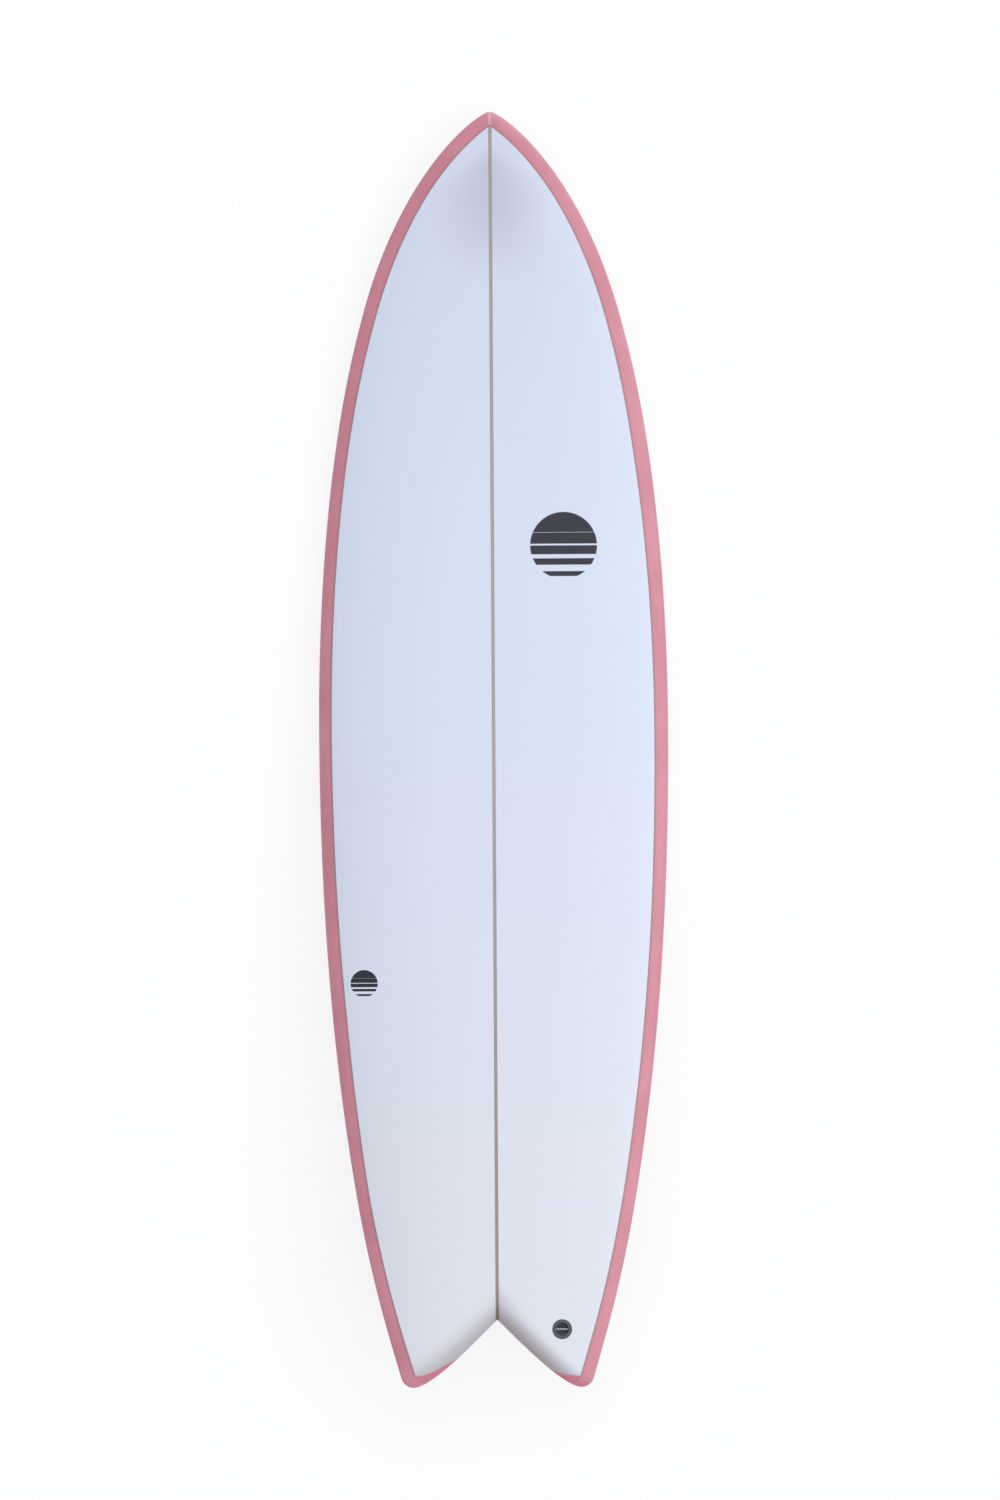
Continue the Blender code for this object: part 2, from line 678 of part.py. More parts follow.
def lay_down(board, skins, fins):
    """Pitches the board until fin tips and belly are equally low, and puts the middle of its foot at 0."""
    bpy.context.view_layer.update()
    hull_points = np.concatenate([points_of(piece) for piece in skins])
    fin_points = np.concatenate([points_of(piece) for piece in fins])

    def heights(points, pitch):
        return points[:, 2] * math.cos(pitch) - points[:, 1] * math.sin(pitch)

    low, high = 0.0, math.radians(25)
    for _ in range(SOLVER_STEPS):
        pitch = (low + high) / 2
        if heights(hull_points, pitch).min() > heights(fin_points, pitch).min():
            low = pitch
        else:
            high = pitch
    everything = np.concatenate([hull_points, fin_points])
    forward = everything[:, 1] * math.cos(pitch) + everything[:, 2] * math.sin(pitch)
    middle = (forward.min() + forward.max()) / 2
    lift = -heights(everything, pitch).min()
    board.matrix_local = Matrix.Translation((0, -middle, lift)) @ Matrix.Rotation(-pitch, 4, "X")
    bpy.context.view_layer.update()
    print(f"rest pitch {math.degrees(pitch):.3f} degrees, lift {lift * 1000:.2f} mm")


def main():
    board = empty("board", None, Matrix.Identity(4))
    deck_finish = material("deck_glass", 214, 221, 239, 0.25)
    deck = place("deck_glass", sheet(deck_rows(), "deck_glass"), board, deck_finish)
    skin(deck)
    tint = material("bottom_glass_tint", 198, 134, 148, 0.25)
    bottom = place("bottom_glass", sheet(bottom_rows(), "bottom_glass"), board, tint)
    skin(bottom)
    whole = core()
    edge = STRINGER / 2
    foam = material("blank_foam", 232, 234, 236, 0.9)
    wood = material("stringer_wood", 178, 160, 132, 0.7)
    left = place("blank_left", core_slice(whole, "blank_left", None, -edge - GAP), board, foam)
    right = place("blank_right", core_slice(whole, "blank_right", edge + GAP, None), board, foam.copy())
    place("stringer", core_slice(whole, "stringer", -edge, edge), board, wood)
    whole.free()
    add_leash_plug(board, deck, right)
    fins = [add_fin(board, bottom, left, "left", -1), add_fin(board, bottom, right, "right", 1)]
    lay_down(board, [deck, bottom], fins)


main()
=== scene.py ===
import math

import bmesh
import bpy
import numpy as np
from mathutils import Matrix, Vector
from mathutils.geometry import interpolate_bezier


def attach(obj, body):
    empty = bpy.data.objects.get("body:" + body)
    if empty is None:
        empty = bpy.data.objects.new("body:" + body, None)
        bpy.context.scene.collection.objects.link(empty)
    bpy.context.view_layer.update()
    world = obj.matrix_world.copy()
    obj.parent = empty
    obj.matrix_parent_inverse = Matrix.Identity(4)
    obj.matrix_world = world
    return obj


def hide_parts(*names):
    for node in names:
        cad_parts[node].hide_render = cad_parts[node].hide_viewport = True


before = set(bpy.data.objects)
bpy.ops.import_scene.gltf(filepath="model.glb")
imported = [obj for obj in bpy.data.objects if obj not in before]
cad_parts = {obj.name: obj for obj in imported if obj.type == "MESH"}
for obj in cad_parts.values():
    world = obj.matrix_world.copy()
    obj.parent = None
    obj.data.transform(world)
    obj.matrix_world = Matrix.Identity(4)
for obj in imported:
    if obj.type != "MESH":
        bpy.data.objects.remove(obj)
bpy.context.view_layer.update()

# The shaped hull, level, nose towards +Y.
# s runs back from the nose tip, q from the centre line (0) to the rail (1).
hull = {
    "length": 1.829,
    "noseRound": 0.0157, "noseStation": 0.305, "noseWidth": 0.3765, "noseAngle": 14.3,
    "noseHandles": (0.230, 0.035),
    "widePoint": 0.886, "width": 0.5013, "wideHandles": (0.362, 0.240),
    "tailStation": 0.305, "tailWidth": 0.4112, "tailAngle": 8.9, "tailHandles": (0.195, 0.152),
    "tipSpread": 0.2684, "tipAngle": 16.0, "tipHandle": 0.075, "tipRadius": 0.013,
    "notchDepth": 0.097, "crotchAngle": 45.0, "crotchHandle": 0.060, "notchTipHandle": 0.025,
    "notchFade": 0.45, "notchRound": 0.026, "notchLand": 0.14,
    "noseRocker": 0.118, "tailRocker": 0.045, "flatStation": 0.960,
    "noseRockerPower": 2.5, "tailRockerPower": 2.2,
    "thickness": 0.0635, "thickStation": 0.900, "noseThickness": 0.009, "tailThickness": 0.015,
    "noseFoilPower": 2.0, "tailFoilPower": 2.2, "noseEdge": 0.014,
    "apex": (0.50, 0.42, 0.36),        # rail edge's height as a share of the thickness: nose, middle, tail
    "tuck": (9.0, 16.0, 26.0),         # how hard the rail turns under: nose, middle, tail
    "deckPower": 2.6, "concave": 0.003, "concaveReach": 0.85,
    "lap": 0.018, "lapGap": 0.0003, "glass": 0.0010,
    "lapDrift": (    # how the hand-cut lap strays: station, left, right
        (0.0, 0.0028, 0.0028), (0.03, 0.0028, 0.0028), (0.10, 0.0015, 0.0020), (0.27, 0.0010, 0.0026),
        (0.50, 0.0, 0.0038), (0.70, 0.0, 0.0026), (0.90, 0.0, 0.0016), (1.15, 0.0012, 0.0010),
        (1.30, 0.0022, 0.0010), (1.45, 0.0012, 0.0008), (1.56, 0.0, 0.0006), (1.829, 0.0006, -0.0004),
    ),
}
# How it lies on fin tips and belly
lying = {"pitch": math.radians(5.290459625), "forward": -0.007971, "lift": 0.018865}
boardTilt = Matrix.Rotation(-lying["pitch"], 4, "X")
boardPlace = Matrix.Translation((0, lying["forward"], lying["lift"])) @ boardTilt
solver = {
    "curveSamples": 160, "steps": 60, "probe": 0.004, "slopeProbe": 0.0005, "weld": 0.000002,
    "tolerance": 0.000001, "rowEase": 0.72, "sharpAngle": math.radians(35.0),
    "cornerSteps": 5, "footSteps": 3, "chamferSteps": 2,
}


def curvePoints(start, startHandle, endHandle, end):
    points = interpolate_bezier(start, startHandle, endHandle, end, solver["curveSamples"])
    return np.array([point[:2] for point in points])


def heading(degrees, reach):
    turn = math.radians(degrees)
    return Vector((math.cos(turn), math.sin(turn), 0)) * reach


def drawOutline():
    h = hull
    knots = [  # station, half width, angle, handle before, handle after
        (0.0, 0.0, 90.0, 0.0, h["noseRound"]),
        (h["noseStation"], h["noseWidth"] / 2, h["noseAngle"], *h["noseHandles"]),
        (h["widePoint"], h["width"] / 2, 0.0, *h["wideHandles"]),
        (h["length"] - h["tailStation"], h["tailWidth"] / 2, -h["tailAngle"], *h["tailHandles"]),
        (h["length"], h["tipSpread"] / 2, -h["tipAngle"], h["tipHandle"], 0.0),
    ]
    spans = []
    for first, second in zip(knots, knots[1:]):
        start, end = Vector((first[0], first[1], 0)), Vector((second[0], second[1], 0))
        leaving, arriving = heading(first[2], first[4]), heading(second[2], second[3])
        spans.append(curvePoints(start, start + leaving, end - arriving, end))
    return np.concatenate(spans)


outlinePoints = drawOutline()


def template(s):
    return float(np.interp(s, outlinePoints[:, 0], outlinePoints[:, 1]))


def halfWidth(s):
    radius = hull["tipRadius"]
    height = min(max(hull["length"] - s, 0), radius)
    return template(s) - radius + math.sqrt(radius**2 - (radius - height) ** 2)


def drawNotch():
    tip = halfWidth(hull["length"])
    angle = math.radians(hull["crotchAngle"])
    start, end = Vector((0, hull["notchDepth"], 0)), Vector((tip, 0, 0))
    leaving = Vector((math.sin(angle), -math.cos(angle), 0)) * hull["crotchHandle"]
    points = curvePoints(start, start + leaving, end - Vector((hull["notchTipHandle"], 0, 0)), end)
    points[:, 0] /= tip
    return points


notchPoints = drawNotch()


def tailRise(q):
    return float(np.interp(q, notchPoints[:, 0], notchPoints[:, 1]))


def tailGap(spot):    # how far ahead of the notch's edge, along the board and square to the edge
    tip, step = halfWidth(hull["length"]), solver["slopeProbe"]
    q = min(abs(spot.x) / tip, 1 - step)
    slope = (tailRise(q + step) - tailRise(q - step)) / (2 * step * tip)
    gap = hull["length"] / 2 + spot.y - tailRise(q)
    return gap, gap / math.hypot(1, slope)


def fade(sRail):
    return max(0.0, 1 - (hull["length"] - sRail) / hull["notchFade"]) ** 2


def rocker(s):
    flat = hull["flatStation"]
    if s < flat:
        return hull["noseRocker"] * ((flat - s) / flat) ** hull["noseRockerPower"]
    return hull["tailRocker"] * ((s - flat) / (hull["length"] - flat)) ** hull["tailRockerPower"]


def thickness(s):
    thick = hull["thickStation"]
    if s < thick:
        end = hull["noseThickness"]
        share = 1 - ((thick - s) / thick) ** hull["noseFoilPower"]
    else:
        end = hull["tailThickness"]
        share = 1 - ((s - thick) / (hull["length"] - thick)) ** hull["tailFoilPower"]
    return end + (hull["thickness"] - end) * share


def along(s, values):
    return float(np.interp(s, (0, hull["flatStation"], hull["length"]), values))


def rounding(distance, radius):
    share = min(max(distance / radius, 0), 1)
    return math.sqrt(1 - (1 - share) ** 2)


def hullPoint(sRail, q, face, seam=None):    # face: 1 deck, -1 bottom; seam: height off the edge line
    x = q * halfWidth(sRail)
    s = sRail - tailRise(q) * fade(sRail)
    depth = thickness(s)
    edge = along(s, hull["apex"]) * depth
    if seam is not None:
        return Vector((x, hull["length"] / 2 - s, rocker(s) + edge + seam))
    fromTail = hull["length"] - tailRise(q) - s
    closing = hull["notchLand"] + (1 - hull["notchLand"]) * rounding(fromTail, hull["notchRound"])
    closing *= rounding(s, hull["noseEdge"])
    if face > 0:
        height = edge + (depth - edge) * math.sqrt(1 - q ** hull["deckPower"]) * closing
    else:
        height = edge - edge * math.sqrt(1 - q ** along(s, hull["tuck"])) * closing
        hollow = max(0.0, 1 - (q / hull["concaveReach"]) ** 2)
        height += along(s, (0, hull["concave"], hull["concave"])) * hollow * closing
    return Vector((x, hull["length"] / 2 - s, rocker(s) + height))


def surfacePoint(x, s, face):
    sRail = s
    for _ in range(solver["steps"]):
        q = abs(x) / halfWidth(sRail)
        sRail = s + tailRise(q) * fade(sRail)
    point = hullPoint(sRail, q, face)
    point.x = x
    return point


def seatFrame(x, s, face, toe=0.0):    # on the surface; Z points out of the deck or into the bottom
    probe = solver["probe"]
    across = surfacePoint(x + probe, s, face) - surfacePoint(x - probe, s, face)
    lengthwise = surfacePoint(x, s - probe, face) - surfacePoint(x, s + probe, face)
    zAxis = across.cross(lengthwise).normalized()
    yAxis = zAxis.cross(Matrix.Rotation(toe, 3, "Z") @ Vector((1, 0, 0))).normalized()
    turn = Matrix((yAxis.cross(zAxis), yAxis, zAxis)).transposed().to_4x4()
    return Matrix.Translation(surfacePoint(x, s, face)) @ turn


lapDrift = np.array(hull["lapDrift"])


def lapLine(s, inset, side):    # q where the lap's edge runs, square to the rail
    if s <= 0:
        return 0.0
    inset += float(np.interp(s, lapDrift[:, 0], lapDrift[:, 1 if side < 0 else 2]))
    step = solver["slopeProbe"]
    fore = max(s - step, 0)
    slope = (template(s + step) - template(fore)) / (s + step - fore)
    return max(0.0, 1 - inset * math.hypot(1, slope) / halfWidth(s))


def lapPoint(inset):    # where the two lap edges meet on the centre line
    low, high = 0.0, hull["noseStation"]
    for _ in range(solver["steps"]):
        middle = (low + high) / 2
        if lapLine(middle, inset, 1) > 0:
            high = middle
        else:
            low = middle
    return high


# Helpers for pieces

def meshObject(name, bm):    # the bmesh is used up
    mesh = bpy.data.meshes.new(name)
    bm.to_mesh(mesh)
    bm.free()
    thing = bpy.data.objects.new(name, mesh)
    bpy.context.scene.collection.objects.link(thing)
    return thing


def addPiece(name, bm, material, body, slot, *nodes):
    piece = meshObject(name, bm)
    piece.data.materials.append(material)
    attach(piece, body)
    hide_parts(*nodes)
    return piece


def smoothPiece(piece):
    piece.data.shade_smooth()
    piece.data.set_sharp_from_angle(angle=solver["sharpAngle"])


def settle(piece):    # makes the modifiers' result the piece's own mesh
    graph = bpy.context.evaluated_depsgraph_get()
    mesh = bpy.data.meshes.new_from_object(piece.evaluated_get(graph))
    old = piece.data
    piece.modifiers.clear()
    piece.data = mesh
    bpy.data.meshes.remove(old)
    mesh.name = piece.name


def cut(piece, cutters, operation="DIFFERENCE"):    # cutters are bmeshes in place; they are used up
    helpers = []
    for bm in cutters:
        helper = meshObject("cutter", bm)
        tool = piece.modifiers.new("cut", "BOOLEAN")
        tool.operation = operation
        tool.object = helper
        helpers.append(helper)
    settle(piece)
    for helper in helpers:
        mesh = helper.data
        bpy.data.objects.remove(helper)
        bpy.data.meshes.remove(mesh)


def turned(profile, steps, place):    # (radius, height) points spun round Z, from axis to axis
    bm = bmesh.new()
    points = [bm.verts.new((radius, 0, height)) for radius, height in profile]
    line = [bm.edges.new(pair) for pair in zip(points, points[1:])]
    bmesh.ops.spin(
        bm, geom=points + line, cent=(0, 0, 0), axis=(0, 0, 1), angle=2 * math.pi, steps=steps, use_merge=True
    )
    bmesh.ops.remove_doubles(bm, verts=bm.verts[:], dist=solver["weld"])
    bmesh.ops.recalc_face_normals(bm, faces=bm.faces[:])
    bmesh.ops.transform(bm, matrix=place, verts=bm.verts[:])
    return bm


def bevel(bm, edges, offset, segments):
    bmesh.ops.bevel(
        bm, geom=edges, offset=offset, segments=segments, profile=0.5, affect="EDGES", material=-1
    )


def rod(radius, low, high, steps, place, chamfer=0.0):
    bm = bmesh.new()
    bmesh.ops.create_cone(
        bm, cap_ends=True, segments=steps, radius1=radius, radius2=radius, depth=high - low,
        matrix=Matrix.Translation((0, 0, (low + high) / 2)),
    )
    if chamfer:
        rims = [edge for edge in bm.edges if abs(edge.verts[0].co.z - edge.verts[1].co.z) < solver["weld"]]
        bevel(bm, rims, chamfer, solver["chamferSteps"])
    bmesh.ops.transform(bm, matrix=place, verts=bm.verts[:])
    return bm


def roundedBlock(low, high, corner, foot, place):    # upright edges and the top's edges rounded
    bm = bmesh.new()
    size = Vector(high) - Vector(low)
    middle = (Vector(high) + Vector(low)) / 2
    bmesh.ops.create_cube(bm, size=1, matrix=Matrix.Translation(middle) @ Matrix.Diagonal((*size, 1)))
    upright = [edge for edge in bm.edges if abs(edge.verts[0].co.z - edge.verts[1].co.z) > size.z / 2]
    bevel(bm, upright, corner, solver["cornerSteps"])
    if foot:
        top = [edge for edge in bm.edges if min(v.co.z for v in edge.verts) > high[2] - solver["weld"]]
        bevel(bm, top, foot, solver["footSteps"])
    bmesh.ops.transform(bm, matrix=place, verts=bm.verts[:])
    return bm


# Node helpers

def srgb(red, green, blue):
    values = [channel / 255 for channel in (red, green, blue)]
    return tuple(v / 12.92 if v <= 0.04045 else ((v + 0.055) / 1.055) ** 2.4 for v in values) + (1.0,)


def startMaterial(name, roughness, **constants):
    material = bpy.data.materials.new(name)
    material.use_nodes = True
    tree = material.node_tree
    shader = tree.nodes["Principled BSDF"]
    shader.inputs["Roughness"].default_value = roughness
    for socket, value in constants.items():
        shader.inputs[socket.replace("_", " ")].default_value = value
    return material, tree, shader


def feed(tree, socket, value):    # a socket is linked, a plain value is set
    if isinstance(value, bpy.types.NodeSocket):
        tree.links.new(value, socket)
    else:
        socket.default_value = value


def addNode(tree, kind, values=(), **settings):    # values: what goes into each input
    node = tree.nodes.new(kind)
    for key, value in settings.items():
        setattr(node, key, value)
    for key, value in dict(values).items():
        feed(tree, node.inputs[key], value)
    return node


def math2(tree, operation, first, second=0.0, third=0.0):
    values = {0: first, 1: second, 2: third}
    return addNode(tree, "ShaderNodeMath", values, operation=operation).outputs[0]


def ramp(tree, value, low, high, start=0.0, end=1.0):    # a smooth step from start at low to end at high
    values = {"Value": value, "From Min": low, "From Max": high, "To Min": start, "To Max": end}
    return addNode(tree, "ShaderNodeMapRange", values, interpolation_type="SMOOTHSTEP").outputs["Result"]


def mixColour(tree, factor, first, second, blend="MIX"):    # sockets 6 and 7 are the node's two colours
    values = {0: factor, 6: first, 7: second}
    return addNode(tree, "ShaderNodeMix", values, data_type="RGBA", blend_type=blend).outputs[2]


def startGroup(name, inputs, outputs):    # each input is a number, each output a label and its kind
    group = bpy.data.node_groups.new(name, "ShaderNodeTree")
    for label in inputs:
        group.interface.new_socket(label, in_out="INPUT", socket_type=number)
    for label, kind in outputs:
        group.interface.new_socket(label, in_out="OUTPUT", socket_type=kind)
    return group, group.nodes.new("NodeGroupInput").outputs, group.nodes.new("NodeGroupOutput").inputs


def useGroup(tree, group, **values):
    node = tree.nodes.new("ShaderNodeGroup")
    node.node_tree = group
    for key, value in values.items():
        feed(tree, node.inputs[key.replace("_", " ")], value)
    return node.outputs


number, point = "NodeSocketFloat", "NodeSocketVector"


# Effects that several finishes share

def makeBoardAxes():    # Object coordinates turned level, so X and Y lie in the board's own plan
    outputs = [("Level", point), ("Across", number), ("Forward", number), ("Up", number)]
    group, _, out = startGroup("board axes", [], outputs)
    inverse = boardPlace.inverted()
    place = addNode(group, "ShaderNodeTexCoord").outputs["Object"]
    level = addNode(group, "ShaderNodeMapping", {"Vector": place}, vector_type="POINT")
    level.inputs["Rotation"].default_value = inverse.to_euler()
    level.inputs["Location"].default_value = inverse.translation
    axes = addNode(group, "ShaderNodeSeparateXYZ", {0: level.outputs[0]}).outputs
    for source, label in zip((level.outputs[0], *axes), ("Level", "Across", "Forward", "Up")):
        group.links.new(source, out[label])
    return group


boardAxes = makeBoardAxes()


def drifting(group, size, spread, middle, **noise):    # slow noise that strays from its middle by the spread
    place = addNode(group, "ShaderNodeTexCoord").outputs["Object"]
    scale = math2(group, "DIVIDE", 1.0, size)
    cloud = addNode(group, "ShaderNodeTexNoise", {"Vector": place, "Scale": scale, **noise}).outputs[0]
    stray = math2(group, "MULTIPLY", math2(group, "SUBTRACT", cloud, 0.5), spread)
    return math2(group, "MULTIPLY_ADD", stray, 2.0, middle)


def makeResinCloud():    # slow drifts in a poured resin, around 1
    group, given, out = startGroup("resin cloud", ("Size", "Amount"), [("Shade", number)])
    noise = {"Detail": 3.0, "Roughness": 0.5, "Distortion": 0.6}
    group.links.new(drifting(group, given["Size"], given["Amount"], 1.0, **noise), out["Shade"])
    return group


resinCloud = makeResinCloud()


def makeGlassCloth():    # the plain weave of the cloth, faint under the resin
    inputs = ("Warp", "Weft", "Thread", "Depth")
    group, given, out = startGroup("glass cloth", inputs, [("Shade", number), ("Height", number)])
    turns = math2(group, "DIVIDE", math.pi, given["Thread"])
    warp = math2(group, "SINE", math2(group, "MULTIPLY", given["Warp"], turns))
    weft = math2(group, "SINE", math2(group, "MULTIPLY", given["Weft"], turns))
    weave = math2(group, "MULTIPLY", warp, weft)
    group.links.new(math2(group, "MULTIPLY_ADD", weave, given["Depth"], 1.0), out["Shade"])
    group.links.new(math2(group, "MULTIPLY_ADD", weave, 0.5, 0.5), out["Height"])
    return group


glassCloth = makeGlassCloth()


def makeSandedSheen():    # roughness left by sanding and a hand rub
    group, given, out = startGroup("sanded sheen", ("Roughness", "Spread", "Size"), [("Roughness", number)])
    rough = drifting(group, given["Size"], given["Spread"], given["Roughness"], Detail=5.0)
    group.links.new(rough, out["Roughness"])
    return group


sandedSheen = makeSandedSheen()


woodLine = {"soft": 0.0002, "grainScale": (900, 14, 900), "grainDetail": 4.0}


def makeStringerLine():    # the wood strip showing through the glass, with its glue lines
    outputs = [("Strip", number), ("Glue", number), ("Grain", number)]
    group, given, out = startGroup("stringer line", ("Half Width", "Glue"), outputs)
    level = useGroup(group, boardAxes)
    soft = woodLine["soft"]
    beyond = math2(group, "SUBTRACT", math2(group, "ABSOLUTE", level["Across"]), given["Half Width"])
    fromGlue = math2(group, "SUBTRACT", math2(group, "ABSOLUTE", beyond), given["Glue"])
    group.links.new(ramp(group, beyond, soft, -soft), out["Strip"])
    group.links.new(ramp(group, fromGlue, soft, -soft), out["Glue"])
    stretch = {"Vector": level["Level"], "Scale": woodLine["grainScale"]}
    place = addNode(group, "ShaderNodeMapping", stretch, vector_type="POINT").outputs[0]
    noise = {"Vector": place, "Scale": 1.0, "Detail": woodLine["grainDetail"]}
    group.links.new(addNode(group, "ShaderNodeTexNoise", noise).outputs[0], out["Grain"])
    return group


stringerLine = makeStringerLine()


sunShape = {    # in shares of the sun's radius
    "soft": 0.012, "barSoft": 0.03, "bars": 2.6, "phase": 10.0,
    "cutRange": (0.45, -1.0), "gaps": (0.02, 0.62), "wholeFrom": (0.40, 0.42),
}


def makeSunPrint():    # a round sun cut by level gaps that widen downwards, printed on tissue under the glass
    group, given, out = startGroup("sun print", ("Across", "Forward", "Radius"), [("Ink", number)])
    level = useGroup(group, boardAxes)
    x = math2(group, "DIVIDE", math2(group, "SUBTRACT", level["Across"], given["Across"]), given["Radius"])
    y = math2(group, "DIVIDE", math2(group, "SUBTRACT", level["Forward"], given["Forward"]), given["Radius"])
    square = math2(group, "ADD", math2(group, "POWER", x, 2.0), math2(group, "POWER", y, 2.0))
    soft, barSoft = sunShape["soft"], sunShape["barSoft"]
    disc = ramp(group, math2(group, "SQRT", square), 1 + soft, 1 - soft)
    step = math2(group, "FRACT", math2(group, "MULTIPLY_ADD", y, sunShape["bars"], sunShape["phase"]))
    gap = ramp(group, y, *sunShape["cutRange"], *sunShape["gaps"])
    bar = ramp(group, math2(group, "SUBTRACT", step, gap), -barSoft, barSoft)
    upper = ramp(group, y, *sunShape["wholeFrom"])
    group.links.new(math2(group, "MULTIPLY", disc, math2(group, "MAXIMUM", bar, upper)), out["Ink"])
    return group


sunPrint = makeSunPrint()


def addShade(tree, shader, colour, shade):    # the colour, made lighter or darker by a number around 1
    grey = addNode(tree, "ShaderNodeCombineColor", {channel: shade for channel in range(3)}).outputs[0]
    feed(tree, shader.inputs["Base Color"], mixColour(tree, 1.0, colour, grey, "MULTIPLY"))


def addSheen(tree, shader, sheen):
    feed(tree, shader.inputs["Roughness"], useGroup(tree, sandedSheen, **sheen)["Roughness"])


def addBump(tree, shader, height, bump):
    node = addNode(tree, "ShaderNodeBump", {"Height": height, **bump})
    feed(tree, shader.inputs["Normal"], node.outputs[0])


print("effects:", len(bpy.data.node_groups), "node groups")


# Deck: white foam under clear glass, from the lap's point at the nose to the notch's edge

deck = {
    "rows": 190, "columns": 120, "notchRows": 14, "seamRows": 3,
    "foam": srgb(218, 225, 239), "warmTail": srgb(224, 226, 232), "warmFrom": 0.05, "warmTo": -0.80,
    "strip": srgb(160, 151, 148), "stripLight": srgb(186, 172, 158), "stripTail": srgb(152, 137, 128),
    "glue": srgb(146, 139, 138), "stripHalf": 0.0021, "glueWidth": 0.0003,
    "ink": srgb(24, 29, 44), "suns": ((0.102, 0.293, 0.048), (-0.188, -0.334, 0.0195)),
    # The tinted wash round each tail tip: distance in from the tip, and its height above the notch's edge
    "wash": srgb(202, 126, 137), "washSoft": 0.0014,
    "washLeft": (
        (0.0, 0.0175), (0.014, 0.0140), (0.023, 0.0116), (0.034, 0.0092), (0.045, 0.0070), (0.070, -0.002),
    ),
    "washRight": (
        (0.0, 0.0165), (0.013, 0.0140), (0.023, 0.0090), (0.034, 0.0046), (0.044, 0.0), (0.060, -0.006),
    ),
    # Painted shade along the notch's edge, warm grey, where the deck rolls down away from the light: its
    # reach at the middle and at the tip, and its strength
    "notchShadeColour": (0.58, 0.51, 0.49, 1), "notchShadeLeft": (0.032, 0.046, 0.74), "notchShadeRight": (0.049, 0.024, 0.97),
    # Painted shade on the nose: a soft grey patch about the stringer, standing in for the shade where the
    # nose curves up away from the light
    "paintedShade": (0.82, 0.825, 0.83, 1), "paintedShadeTop": (0.872, 0.836), "paintedShadeFoot": (0.660, 0.780),
    "paintedShadeSpread": (0.870, 0.790), "paintedShadeHalf": (0.020, 0.098),
    "coat": {"Coat_Weight": 0.25, "Coat_Roughness": 0.12, "Specular_IOR_Level": 0.25},
    "sheen": {"Roughness": 0.36, "Spread": 0.05, "Size": 0.06},
    "cloud": {"Size": 0.30, "Amount": 0.012},
    "cloth": {"Thread": 0.0012, "Depth": 0.008},
    "bump": {"Strength": 0.03, "Distance": 0.0002},
}


def rowStation(v, first, seamShare, notchShare):    # main rows eased, then even turns round the notch's edge
    roll = hull["notchRound"]
    if v >= 1 - seamShare:
        return hull["length"]
    v /= 1 - seamShare
    if v >= 1 - notchShare:
        turn = (v - 1 + notchShare) / notchShare * math.pi / 2
        return hull["length"] - roll * (1 - math.sin(turn))
    share = v / (1 - notchShare)
    eased = share - solver["rowEase"] * math.sin(2 * math.pi * share) / (2 * math.pi)
    return first + (hull["length"] - roll - first) * eased


def washDepth(x, gap):    # how far inside the tinted wash that wraps each tail tip; below 0 is outside
    width = np.array(deck["washLeft" if x < 0 else "washRight"])
    fromTip = halfWidth(hull["length"]) - abs(x)
    return float(np.interp(fromTip, width[:, 0], width[:, 1])) - gap


# painted shade: darkens the deck about the stringer on the nose, fading towards the rails, the tip and the
# tail
def paintedNoseShade(tree, level):
    top = ramp(tree, level["Forward"], *deck["paintedShadeTop"])
    foot = ramp(tree, level["Forward"], *deck["paintedShadeFoot"])
    half = ramp(tree, level["Forward"], *deck["paintedShadeSpread"], *deck["paintedShadeHalf"])
    side = math2(tree, "DIVIDE", math2(tree, "ABSOLUTE", level["Across"]), half)
    return math2(tree, "MULTIPLY", math2(tree, "MULTIPLY", top, foot), ramp(tree, side, 1.0, 0.0))


def makeDeckGlass():
    material, tree, shader = startMaterial("clear deck glass", deck["sheen"]["Roughness"], **deck["coat"])
    level = useGroup(tree, boardAxes)
    tail = ramp(tree, level["Forward"], deck["warmFrom"], deck["warmTo"])
    colour = mixColour(tree, tail, deck["foam"], deck["warmTail"])
    # the painted nose shade multiplies the deck colour
    colour = mixColour(tree, paintedNoseShade(tree, level), colour, deck["paintedShade"], "MULTIPLY")
    line = useGroup(tree, stringerLine, Half_Width=deck["stripHalf"], Glue=deck["glueWidth"])
    wood = mixColour(tree, line["Grain"], deck["strip"], deck["stripLight"])
    wood = mixColour(tree, tail, wood, deck["stripTail"])
    colour = mixColour(tree, line["Strip"], colour, wood)
    colour = mixColour(tree, line["Glue"], colour, deck["glue"])
    for across, forward, radius in deck["suns"]:
        ink = useGroup(tree, sunPrint, Across=across, Forward=forward, Radius=radius)["Ink"]
        colour = mixColour(tree, ink, colour, deck["ink"])
    # painted shade: the deck turns darker and warm grey towards the notch's edge
    paintedNotchShade = addNode(tree, "ShaderNodeAttribute", attribute_name="paintedNotchShade").outputs["Fac"]
    colour = mixColour(tree, paintedNotchShade, colour, deck["notchShadeColour"], "MULTIPLY")
    wash = addNode(tree, "ShaderNodeAttribute", attribute_name="wash").outputs["Fac"]
    colour = mixColour(tree, ramp(tree, wash, 0.0, 2 * deck["washSoft"]), colour, deck["wash"])
    cloud = useGroup(tree, resinCloud, **deck["cloud"])["Shade"]
    cloth = useGroup(tree, glassCloth, Warp=level["Across"], Weft=level["Forward"], **deck["cloth"])
    addShade(tree, shader, colour, math2(tree, "MULTIPLY", cloud, cloth["Shade"]))
    addSheen(tree, shader, deck["sheen"])
    addBump(tree, shader, cloth["Height"], deck["bump"])
    return material


